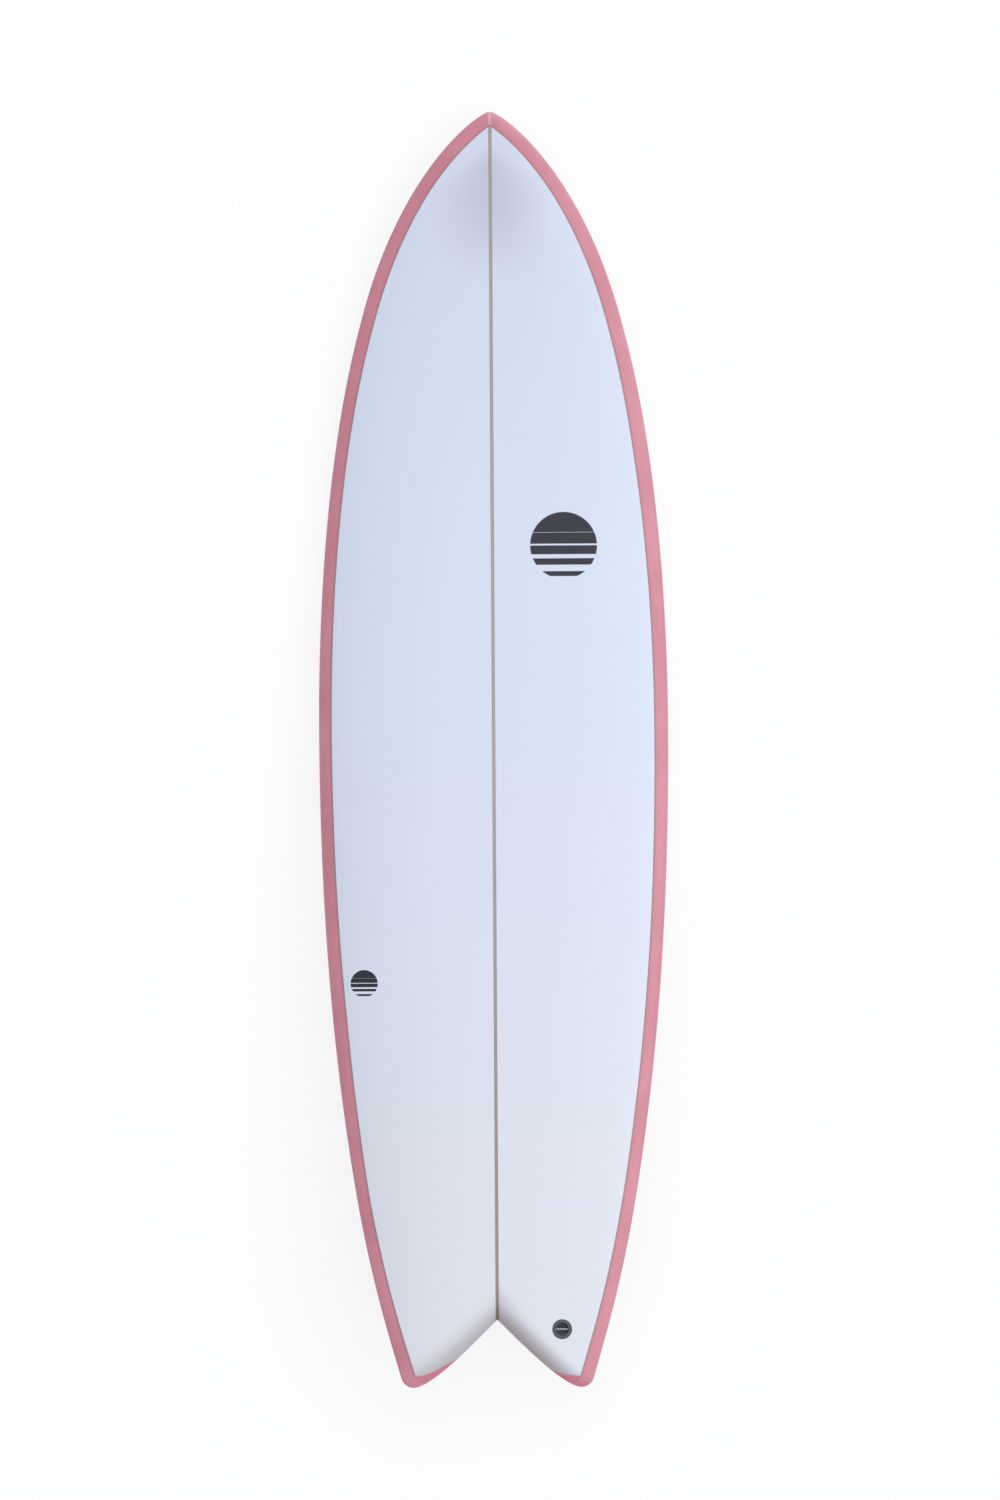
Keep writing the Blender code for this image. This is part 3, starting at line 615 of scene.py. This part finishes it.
def gridSkin(rows, columns, layerNames, placeVertex, flip=False):    # laid over the hull by placeVertex
    bm = bmesh.new()
    bm.loops.layers.uv.new("OFBake")
    bmesh.ops.create_grid(bm, x_segments=columns, y_segments=rows, size=1, calc_uvs=True)
    layers = [bm.verts.layers.float.new(name) for name in layerNames]
    for vertex in bm.verts:
        across, back = vertex.co.x, (1 - vertex.co.y) / 2
        vertex.co, values = placeVertex(across, back)
        for layer, value in zip(layers, values):
            vertex[layer] = value
    bmesh.ops.remove_doubles(bm, verts=bm.verts[:], dist=solver["weld"])
    if flip:
        bmesh.ops.reverse_faces(bm, faces=bm.faces[:])
    bmesh.ops.transform(bm, matrix=boardPlace, verts=bm.verts[:])
    bm.normal_update()
    return bm


def thicken(piece):
    wall = piece.modifiers.new("glass", "SOLIDIFY")
    wall.thickness = hull["glass"]
    wall.offset = -1
    wall.use_even_offset = True
    wall.use_quality_normals = True


def buildDeck():
    inset = hull["lap"] + hull["lapGap"]
    first = lapPoint(inset)
    seamShare = deck["seamRows"] / deck["rows"]
    notchShare = deck["notchRows"] / (deck["rows"] - deck["seamRows"])

    def onDeck(across, back):
        s = rowStation(back, first, seamShare, notchShare)
        q = abs(across) * lapLine(s, inset, across)
        spot = hullPoint(s, q, 1)
        if back > 1 - seamShare:    # the last rows drop from the roll to the edge line
            drop = (back - 1 + seamShare) / seamShare
            spot = spot.lerp(hullPoint(s, q, 1, hull["lapGap"] / 2), drop)
        spot.x = math.copysign(spot.x, across)
        gap, fromTail = tailGap(spot)    # both attributes are 0 where a hole is cut later
        wash = max(0.0, washDepth(spot.x, gap) + deck["washSoft"])
        # the painted shade along the notch's edge: how far in it reaches and how dark it gets
        middle, tip, strength = deck["notchShadeLeft" if spot.x < 0 else "notchShadeRight"]
        reach = np.interp(abs(spot.x), (0, halfWidth(hull["length"])), (middle, tip))
        share = max(0.0, 1 - fromTail / reach)
        return spot, (wash, strength * share**2 * (3 - 2 * share))

    bm = gridSkin(deck["rows"], deck["columns"], ("wash", "paintedNotchShade"), onDeck)
    piece = addPiece("deck_skin", bm, makeDeckGlass(), "board", "deck_glass", "deck_glass")
    thicken(piece)
    return piece


deckSkin = buildDeck()
print("deck:", len(deckSkin.data.polygons), "faces before the wall")


# Bottom: tinted glass whose lap wraps the rails onto the deck

bottom = {
    "noseRows": 16, "rows": 190, "notchRows": 14, "seamRows": 3, "railColumns": 14, "innerColumns": 46,
    "tint": srgb(199, 121, 135), "tintThin": srgb(208, 133, 147), "tintSpread": (0.75, 1.25),
    "strip": srgb(224, 168, 177), "stripShow": 0.8,
    "edgeShade": srgb(170, 115, 129), "edgeWidth": 0.0045, "tipClear": 0.018,
    "coat": {"Coat_Weight": 0.35, "Coat_Roughness": 0.10},
    "sheen": {"Roughness": 0.30, "Spread": 0.05, "Size": 0.05},
    "cloud": {"Size": 0.09, "Amount": 0.5},
    "cloth": {"Thread": 0.0012, "Depth": 0.015},
    "bump": {"Strength": 0.03, "Distance": 0.0002},
}


def makeTintedGlass():
    roughness = bottom["sheen"]["Roughness"]
    material, tree, shader = startMaterial("tinted rail glass", roughness, **bottom["coat"])
    cloud = useGroup(tree, resinCloud, **bottom["cloud"])["Shade"]
    colour = mixColour(tree, ramp(tree, cloud, *bottom["tintSpread"]), bottom["tint"], bottom["tintThin"])
    strip = useGroup(tree, stringerLine, Half_Width=deck["stripHalf"])["Strip"]
    colour = mixColour(tree, math2(tree, "MULTIPLY", strip, bottom["stripShow"]), colour, bottom["strip"])
    lapEdge = addNode(tree, "ShaderNodeAttribute", attribute_name="lapEdge").outputs["Fac"]
    colour = mixColour(tree, ramp(tree, lapEdge, 0.0, bottom["edgeWidth"]), colour, bottom["edgeShade"])
    level = useGroup(tree, boardAxes)
    cloth = useGroup(tree, glassCloth, Warp=level["Across"], Weft=level["Forward"], **bottom["cloth"])
    addShade(tree, shader, colour, cloth["Shade"])
    addSheen(tree, shader, bottom["sheen"])
    addBump(tree, shader, cloth["Height"], bottom["bump"])
    return material


def buildBottom():
    meeting = lapPoint(hull["lap"])
    total = bottom["noseRows"] + bottom["rows"]
    noseShare = bottom["noseRows"] / total
    seamShare = bottom["seamRows"] / bottom["rows"]
    notchShare = bottom["notchRows"] / (bottom["rows"] - bottom["seamRows"])
    half = bottom["innerColumns"] + 2 * bottom["railColumns"]
    innerShare = bottom["innerColumns"] / half
    railShare = bottom["railColumns"] / half

    def aroundRail(across, back):
        if back <= noseShare:
            s, drop = meeting * (back / noseShare) ** 2, 0.0
        else:
            main = (back - noseShare) / (1 - noseShare)
            s = rowStation(main, meeting, seamShare, notchShare)
            drop = max(0.0, (main - 1 + seamShare) / seamShare)
        line = lapLine(s, hull["lap"], across) if back > noseShare else 0.0
        column = abs(across)
        if column <= innerShare:
            q, face = line * column / innerShare, -1
        elif column <= innerShare + railShare:
            out = (column - innerShare) / railShare
            q, face = 1 - (1 - line) * (1 - out) ** 2, -1
        else:
            out = (1 - column) / railShare
            q, face = 1 - (1 - line) * (1 - out) ** 2, 1
        spot = hullPoint(s, q, face)
        if drop > 0:
            seam = 0.0 if q > line else -hull["lapGap"] / 2
            spot = spot.lerp(hullPoint(s, q, face, seam), min(drop, 1.0))
        inset = (q - line) * halfWidth(s) if face > 0 and line > 0 else hull["lap"]
        inset += max(0.0, bottom["tipClear"] - tailGap(spot)[0])    # no lap edge across the washed tail tips
        spot.x = math.copysign(spot.x, across)
        return spot, (max(0.0, bottom["edgeWidth"] - inset),)

    bm = gridSkin(total, 2 * half, ("lapEdge",), aroundRail, flip=True)
    piece = addPiece("bottom_skin", bm, makeTintedGlass(), "board", "tinted_glass", "bottom_glass")
    thicken(piece)
    return piece


bottomSkin = buildBottom()
print("bottom:", len(bottomSkin.data.polygons), "faces before the wall")


# Leash plug: a black cup with a cross bar, let into the deck near the right tail tip

leashPlug = {
    "across": 0.093, "fromTail": 0.083, "radius": 0.0140, "flange": 0.0016, "bodyRadius": 0.0128,
    "bore": 0.0112, "mouth": 0.0092, "lip": 0.0020, "depth": 0.0150, "floor": 0.0018, "rim": 0.0006,
    "fillet": 0.0020, "fit": 0.0003, "steps": 96,
    "barRadius": 0.0022, "barDrop": 0.0052, "barChamfer": 0.0003, "barSteps": 40,
    "black": srgb(58, 62, 73), "blackWorn": srgb(72, 77, 88), "plastic": {"roughness": 0.42, "grain": 0.0006},
    "bar": srgb(120, 124, 133), "barWorn": srgb(146, 150, 158),
    "metal": {"roughness": 0.34, "grain": 0.0008, "metallic": 0.6},
}
moulded = {
    "cloud": {"Size": 0.006, "Amount": 0.5}, "wear": (0.8, 1.3), "sheen": {"Spread": 0.10, "Size": 0.003},
    "grainDetail": 2.0, "bumpStrength": 0.12, "bumpShare": 0.25,
}


def makeMoulded(name, colour, worn, roughness, grain, metallic=0.0):    # plastic or metal, lightly rubbed
    m = moulded
    material, tree, shader = startMaterial(name, roughness, Metallic=metallic)
    cloud = useGroup(tree, resinCloud, **m["cloud"])["Shade"]
    feed(tree, shader.inputs["Base Color"], mixColour(tree, ramp(tree, cloud, *m["wear"]), colour, worn))
    addSheen(tree, shader, {"Roughness": roughness, **m["sheen"]})
    place = addNode(tree, "ShaderNodeTexCoord").outputs["Object"]
    noise = {"Vector": place, "Scale": 1 / grain, "Detail": m["grainDetail"]}
    spark = addNode(tree, "ShaderNodeTexNoise", noise).outputs[0]
    addBump(tree, shader, spark, {"Strength": m["bumpStrength"], "Distance": grain * m["bumpShare"]})
    return material


def arc(x, y, radius, start, end, steps=6):    # points round a corner, angles in degrees
    turns = np.radians(np.linspace(start, end, steps))
    return [(x + radius * math.cos(turn), y + radius * math.sin(turn)) for turn in turns]


def buildLeashPlug():    # returns what is cut out of the deck for it
    p = leashPlug
    place = boardPlace @ seatFrame(p["across"], hull["length"] - p["fromTail"], 1)
    well = p["floor"] - p["depth"]
    rim = p["rim"]
    profile = [(0, well)]
    profile += arc(p["bore"] - p["fillet"], well + p["fillet"], p["fillet"], -90, 0)
    profile += [(p["bore"], -p["lip"] - (p["bore"] - p["mouth"]) / 2), (p["mouth"], -p["lip"])]
    profile += arc(p["mouth"] + rim, -rim, rim, 180, 90)
    profile += arc(p["radius"] - rim, -rim, rim, 90, 0)
    profile += [(p["radius"], -p["flange"]), (p["bodyRadius"], -p["flange"])]
    profile += arc(p["bodyRadius"] - rim, rim - p["depth"], rim, 0, -90)
    profile += [(0, -p["depth"])]
    black = makeMoulded("leash plug black", p["black"], p["blackWorn"], **p["plastic"])
    shape = turned(profile, p["steps"], place)
    cup = addPiece("leash_plug_cup", shape, black, "board", "leash_plastic", "leash_cup")
    lay = place @ Matrix.Translation((0, 0, -p["barDrop"])) @ Matrix.Rotation(math.pi / 2, 4, "Y")
    reach = 2 * p["bodyRadius"]
    cut(cup, [rod(p["barRadius"] + p["fit"], -reach, reach, p["barSteps"], lay)])
    smoothPiece(cup)
    end = math.sqrt(p["bodyRadius"] ** 2 - p["barRadius"] ** 2)
    grey = makeMoulded("leash bar grey", p["bar"], p["barWorn"], **p["metal"])
    bar = rod(p["barRadius"], -end, end, p["barSteps"], lay, p["barChamfer"])
    smoothPiece(addPiece("leash_plug_bar", bar, grey, "board", "leash_bar_metal", "leash_bar"))
    return rod(p["radius"] + p["fit"], -p["depth"], p["depth"], p["steps"], place)


# Fins: foiled on the outside, flat towards the stringer, with tabs that grub screws clamp in plugs

finSet = {
    "fromTail": 0.190, "fromRail": 0.046, "toe": math.radians(2.0), "cant": math.radians(5.0),
    "base": 0.140, "height": 0.122, "rake": 0.062, "rootThickness": 0.0076, "tipThickness": 0.0024,
    "trailingEdge": 0.0008, "baseGap": 0.0008, "leadingHandle": 0.075, "leadingTipHandle": 0.070,
    "trailingHandle": 0.050, "trailingTipHandle": 0.030, "lean": math.radians(24.0), "tipRound": 10.0,
    "tabLength": 0.0240, "tabThickness": 0.0062, "tabDepth": 0.0125, "tabSpacing": 0.068, "tabCorner": 0.0015,
    "tabRoot": 0.004, "tabFoot": 0.0006, "slotFloor": 0.0006, "fit": 0.0003, "rows": 60, "columns": 72,
    "charcoal": srgb(44, 47, 55), "smoke": srgb(58, 62, 72), "smokeSpread": (0.8, 1.25),
    "coat": {"Coat_Weight": 0.3, "Coat_Roughness": 0.15},
    "sheen": {"Roughness": 0.34, "Spread": 0.08, "Size": 0.02},
    "cloud": {"Size": 0.03, "Amount": 0.35},
    "cloth": {"Thread": 0.0018, "Depth": 0.16},
    "bump": {"Strength": 0.05, "Distance": 0.0002},
}
finPlug = {
    "radius": 0.0150, "flange": 0.0016, "bodyRadius": 0.0142, "depth": 0.0160, "rim": 0.0005, "steps": 96,
    "reach": 0.004, "white": srgb(214, 217, 223), "whiteWorn": srgb(196, 199, 206),
    "plastic": {"roughness": 0.38, "grain": 0.0007},
}
grubScrew = {
    "radius": 0.0024, "length": 0.0070, "angle": math.radians(30.0), "tipHeight": 0.0082,
    "socket": 0.0014, "socketDepth": 0.0025, "socketSides": 6,
    "pitch": 0.0008, "thread": 0.00035, "chamfer": 0.0005, "steps": 40,
    "steel": srgb(176, 178, 182), "steelWorn": srgb(150, 152, 157),
    "metal": {"roughness": 0.30, "grain": 0.0005, "metallic": 1.0},
}


def makeFinComposite():
    f = finSet
    material, tree, shader = startMaterial("fin composite", f["sheen"]["Roughness"], **f["coat"])
    level = useGroup(tree, boardAxes)
    cloth = useGroup(tree, glassCloth, Warp=level["Forward"], Weft=level["Up"], **f["cloth"])
    cloud = useGroup(tree, resinCloud, **f["cloud"])["Shade"]
    colour = mixColour(tree, ramp(tree, cloud, *f["smokeSpread"]), f["charcoal"], f["smoke"])
    addShade(tree, shader, colour, cloth["Shade"])
    addSheen(tree, shader, f["sheen"])
    addBump(tree, shader, cloth["Height"], f["bump"])
    return material


def finBlade(side, place):    # a grid wrapped round the foil, from root to tip
    f = finSet
    tip = Vector((-f["rake"], f["height"], 0))
    fore, aft = Vector((f["base"] / 2, 0, 0)), Vector((-f["base"] / 2, 0, 0))
    lean = Vector((math.sin(f["lean"]), math.cos(f["lean"]), 0))
    foreLean = Vector((-lean.x, lean.y, 0)) * f["leadingHandle"]
    aftLean = lean * f["trailingHandle"]
    leading = curvePoints(fore, fore + foreLean, tip + Vector((f["leadingTipHandle"], 0, 0)), tip)
    trailing = curvePoints(aft, aft + aftLean, tip - Vector((f["trailingTipHandle"], 0, 0)), tip)
    bm = bmesh.new()
    bmesh.ops.create_grid(bm, x_segments=f["columns"], y_segments=f["rows"], size=1)
    edgeColumn = 1 - 2 / f["columns"]
    crownScale = math.sqrt(27) / 2    # brings the highest value of sqrt(chord) * (1 - chord) to 1
    for vertex in bm.verts:
        around, up = vertex.co.x, (vertex.co.y + 1) / 2
        share = math.sin(up * math.pi / 2)
        height = share * f["height"]
        front = float(np.interp(height, leading[:, 1], leading[:, 0]))
        back = float(np.interp(height, trailing[:, 1], trailing[:, 0]))
        thick = f["rootThickness"] + (f["tipThickness"] - f["rootThickness"]) * share
        taper = math.sqrt(max(0.0, 1 - share ** f["tipRound"]))
        chord = min(abs(around) / edgeColumn, 1.0) ** 2 if around > 0 else around**2
        crown = math.sqrt(chord) * (1 - chord) * crownScale
        out = 0.0
        if 0 < around <= edgeColumn + solver["tolerance"]:    # the foiled face; the other one is flat
            out = (thick * crown + f["trailingEdge"] * chord) * taper
        x = side * (out - f["tabThickness"] / 2)
        vertex.co = (x, front + (back - front) * chord, -f["baseGap"] - height)
    bmesh.ops.remove_doubles(bm, verts=bm.verts[:], dist=solver["weld"])
    bmesh.ops.holes_fill(bm, edges=[edge for edge in bm.edges if edge.is_boundary])
    bmesh.ops.recalc_face_normals(bm, faces=bm.faces[:])
    bmesh.ops.transform(bm, matrix=place, verts=bm.verts[:])
    return bm


def screwPlace(side):    # the tip bears on the tab's inner face; it backs out down and towards the stringer
    g, f = grubScrew, finSet
    face = g["tipHeight"] * math.tan(f["cant"]) + f["tabThickness"] / 2 / math.cos(f["cant"])
    tipX = face + f["fit"] + g["radius"] * math.cos(g["angle"])
    turn = Matrix.Rotation(math.pi + side * g["angle"], 4, "Y")
    return Matrix.Translation((-side * tipX, 0, g["tipHeight"])) @ turn


def screwProfile():
    g = grubScrew
    root, end = g["radius"] - g["thread"], g["radius"] - g["chamfer"]
    profile = [(0, 0), (end, 0)]
    for turn in range(int((g["length"] - 2 * g["chamfer"]) / g["pitch"])):
        foot = g["chamfer"] + turn * g["pitch"]
        profile += [(root, foot), (g["radius"], foot + g["pitch"] / 2)]
    return profile + [(root, g["length"] - g["chamfer"]), (end, g["length"]), (0, g["length"])]


def plugProfile():
    p = finPlug
    body = [(0, p["depth"]), (p["bodyRadius"], p["depth"]), (p["bodyRadius"], p["flange"])]
    face = arc(p["radius"] - p["rim"], p["rim"], p["rim"], 0, -90)
    return body + [(p["radius"], p["flange"])] + face + [(0, 0)]


def buildPlug(name, spot, cutters, white):
    shape = turned(plugProfile(), finPlug["steps"], spot)
    plug = addPiece(f"fin_plug_{name}_disc", shape, white, "board", "plug_plastic", f"fin_plug_{name}")
    cut(plug, cutters)
    smoothPiece(plug)


def buildScrew(name, spot, steel):
    g = grubScrew
    shape = turned(screwProfile(), g["steps"], spot)
    screw = addPiece(f"grub_screw_{name}", shape, steel, f"{name}_screw", "screw_steel", f"fin_screw_{name}")
    floor, mouth = g["length"] - g["socketDepth"], g["length"] + g["pitch"]
    cut(screw, [rod(g["socket"], floor, mouth, g["socketSides"], spot)])
    smoothPiece(screw)


def buildFins():    # returns what is cut out of the bottom for the plugs
    f, g, p = finSet, grubScrew, finPlug
    composite = makeFinComposite()
    white = makeMoulded("fin plug white", p["white"], p["whiteWorn"], **p["plastic"])
    steel = makeMoulded("grub screw steel", g["steel"], g["steelWorn"], **g["metal"])
    station, boreEnd = hull["length"] - f["fromTail"], g["length"] + p["depth"]
    holes = []
    for word, side in (("left", -1), ("right", 1)):
        across = side * (halfWidth(station) - f["fromRail"])
        seat = boardPlace @ seatFrame(across, station, -1, side * f["toe"])
        canted = seat @ Matrix.Rotation(-side * f["cant"], 4, "Y")
        shape = finBlade(side, canted)
        blade = addPiece(f"fin_{word}_blade", shape, composite, f"{word}_fin", "fin_composite", f"fin_{word}")
        tabs = []
        for end, toward in (("front", 1), ("rear", -1)):
            name = f"{word}_{end}"
            shift = toward * f["tabSpacing"] / 2
            low = (-f["tabThickness"] / 2, shift - f["tabLength"] / 2, -f["baseGap"] - f["tabRoot"])
            high = (f["tabThickness"] / 2, shift + f["tabLength"] / 2, f["tabDepth"])
            tabs.append(roundedBlock(low, high, f["tabCorner"], f["tabFoot"], canted))
            spot = seat @ Matrix.Translation((0, shift, 0))
            screwSpot = spot @ screwPlace(side)
            slotLow = (low[0] - f["fit"], low[1] - f["fit"], -p["reach"])
            slotHigh = (high[0] + f["fit"], high[1] + f["fit"], f["tabDepth"] + f["slotFloor"])
            slot = roundedBlock(slotLow, slotHigh, f["tabCorner"], 0, canted)
            bore = rod(g["radius"] + f["fit"], -p["reach"] / 2, boreEnd, g["steps"], screwSpot)
            buildPlug(name, spot, [slot, bore], white)
            buildScrew(name, screwSpot, steel)
            holes.append(rod(p["radius"] + f["fit"], -p["reach"], p["depth"], p["steps"], spot))
        cut(blade, tabs, "UNION")
        smoothPiece(blade)
    return holes


cut(deckSkin, [buildLeashPlug()])
cut(bottomSkin, buildFins())
for skin in (deckSkin, bottomSkin):
    smoothPiece(skin)
print("fittings in place")


# Core: foam halves and the wood stringer between them, as the frame holds them

core = {
    "foam": srgb(236, 237, 238), "foamCell": srgb(222, 224, 227), "cellScale": 900.0, "cellWall": (0.2, 0.7),
    "foamRoughness": 0.9, "bump": {"Strength": 0.2, "Distance": 0.0003},
    "wood": srgb(196, 170, 128), "woodDark": srgb(158, 128, 88), "grain": (0.35, 0.7),
    "sheen": {"Roughness": 0.6, "Spread": 0.1, "Size": 0.01},
}


def makeFoam():
    material, tree, shader = startMaterial("blown foam", core["foamRoughness"])
    place = addNode(tree, "ShaderNodeTexCoord").outputs["Object"]
    pattern = {"Vector": place, "Scale": core["cellScale"]}
    cells = addNode(tree, "ShaderNodeTexVoronoi", pattern).outputs["Distance"]
    colour = mixColour(tree, ramp(tree, cells, *core["cellWall"]), core["foam"], core["foamCell"])
    feed(tree, shader.inputs["Base Color"], colour)
    addBump(tree, shader, cells, core["bump"])
    return material


def makeWood():
    material, tree, shader = startMaterial("stringer wood", core["sheen"]["Roughness"])
    grain = useGroup(tree, stringerLine)["Grain"]
    colour = mixColour(tree, ramp(tree, grain, *core["grain"]), core["wood"], core["woodDark"])
    feed(tree, shader.inputs["Base Color"], colour)
    addSheen(tree, shader, core["sheen"])
    return material


foam, wood = makeFoam(), makeWood()
for node, material in (("blank_left", foam), ("blank_right", foam), ("stringer", wood)):
    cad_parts[node].data.materials.clear()
    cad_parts[node].data.materials.append(material)
print("core dressed")


# Stage, light and camera

stage = {"floorHalf": 14.0, "floorLevel": -0.0004, "floorColour": srgb(254, 254, 254), "liftToWhite": 0.85}
lightRig = {
    "sunFrom": Vector((0.70, 0.60, 0.80)), "sunPower": 1.78, "sunSpread": math.radians(100),
    "sunColour": (1.0, 0.985, 0.97), "skyTop": (0.62, 0.66, 0.74), "skyLow": (0.38, 0.37, 0.38),
    "skyFrom": Vector((0.45, 0.75, 0.50)), "skyPower": 0.98,
}
# The photograph: height in pixels, metres to a pixel, the board's spot at its middle, lean of the nose
photo = {"height": 1500, "scale": 0.001435, "middleX": 0.009, "middleY": 0.0, "lean": math.radians(0.36)}
lens = {"focal": 800.0, "sensor": 36.0, "railHeight": 0.045}


def seenShare(tree):    # 1 for what the camera sees, also in a reflection or through glass
    path = addNode(tree, "ShaderNodeLightPath").outputs
    seen = math2(tree, "MAXIMUM", path["Is Camera Ray"], path["Is Glossy Ray"])
    return math2(tree, "MAXIMUM", seen, path["Is Transmission Ray"])


def makeFloor():    # clear when looked at from below
    bm = bmesh.new()
    level = Matrix.Translation((0, 0, stage["floorLevel"]))
    bmesh.ops.create_grid(bm, x_segments=1, y_segments=1, size=stage["floorHalf"], matrix=level)
    floor = meshObject("floor", bm)
    material = bpy.data.materials.new("pale floor")
    material.use_nodes = True
    tree = material.node_tree
    tree.nodes.remove(tree.nodes["Principled BSDF"])
    matte = addNode(tree, "ShaderNodeBsdfDiffuse", {"Color": stage["floorColour"]}).outputs[0]
    white = addNode(tree, "ShaderNodeEmission", {"Color": (1, 1, 1, 1), "Strength": 1.0}).outputs[0]
    lift = math2(tree, "MULTIPLY", seenShare(tree), stage["liftToWhite"])
    mixed = addNode(tree, "ShaderNodeMixShader", {0: lift, 1: matte, 2: white}).outputs[0]
    under = addNode(tree, "ShaderNodeNewGeometry").outputs["Backfacing"]
    clear = addNode(tree, "ShaderNodeBsdfTransparent").outputs[0]
    oneSided = addNode(tree, "ShaderNodeMixShader", {0: under, 1: mixed, 2: clear}).outputs[0]
    feed(tree, tree.nodes["Material Output"].inputs["Surface"], oneSided)
    floor.data.materials.append(material)


def makeLight():
    lamp = bpy.data.lights.new("window", "SUN")
    lamp.energy = lightRig["sunPower"]
    lamp.angle = lightRig["sunSpread"]
    lamp.color = lightRig["sunColour"]
    holder = bpy.data.objects.new("window", lamp)
    holder.rotation_euler = lightRig["sunFrom"].to_track_quat("Z", "Y").to_euler()
    bpy.context.scene.collection.objects.link(holder)
    world = bpy.data.worlds.new("soft sky")
    world.use_nodes = True
    tree = world.node_tree
    sky = tree.nodes["Background"]
    way = addNode(tree, "ShaderNodeTexCoord").outputs["Generated"]
    facing = addNode(tree, "ShaderNodeVectorMath", {0: way}, operation="DOT_PRODUCT")
    facing.inputs[1].default_value = lightRig["skyFrom"].normalized()
    share = ramp(tree, facing.outputs["Value"], -1.0, 1.0)
    colour = mixColour(tree, share, (*lightRig["skyLow"], 1), (*lightRig["skyTop"], 1))
    tree.links.new(colour, sky.inputs["Color"])
    sky.inputs["Strength"].default_value = lightRig["skyPower"]
    white = addNode(tree, "ShaderNodeBackground", {"Color": (1, 1, 1, 1), "Strength": 1.0}).outputs[0]
    parts = {0: seenShare(tree), 1: sky.outputs[0], 2: white}
    mixed = addNode(tree, "ShaderNodeMixShader", parts).outputs[0]
    tree.links.new(mixed, tree.nodes["World Output"].inputs["Surface"])
    bpy.context.scene.world = world


def makeCamera():
    data = bpy.data.cameras.new("camera")
    data.lens = lens["focal"]
    data.sensor_width = lens["sensor"]
    away = photo["height"] * photo["scale"] * lens["focal"] / lens["sensor"]
    data.clip_end = away * 2
    camera = bpy.data.objects.new("camera", data)
    bpy.context.scene.collection.objects.link(camera)
    middle = Matrix.Translation((photo["middleX"], photo["middleY"], lens["railHeight"]))
    lean = Matrix.Rotation(-photo["lean"], 4, "Z")
    camera.matrix_world = boardPlace @ middle @ lean @ Matrix.Translation((0, 0, away))
    bpy.context.scene.camera = camera
    bpy.context.scene.view_settings.view_transform = "Standard"


makeFloor()
makeLight()
makeCamera()
print("stage set")
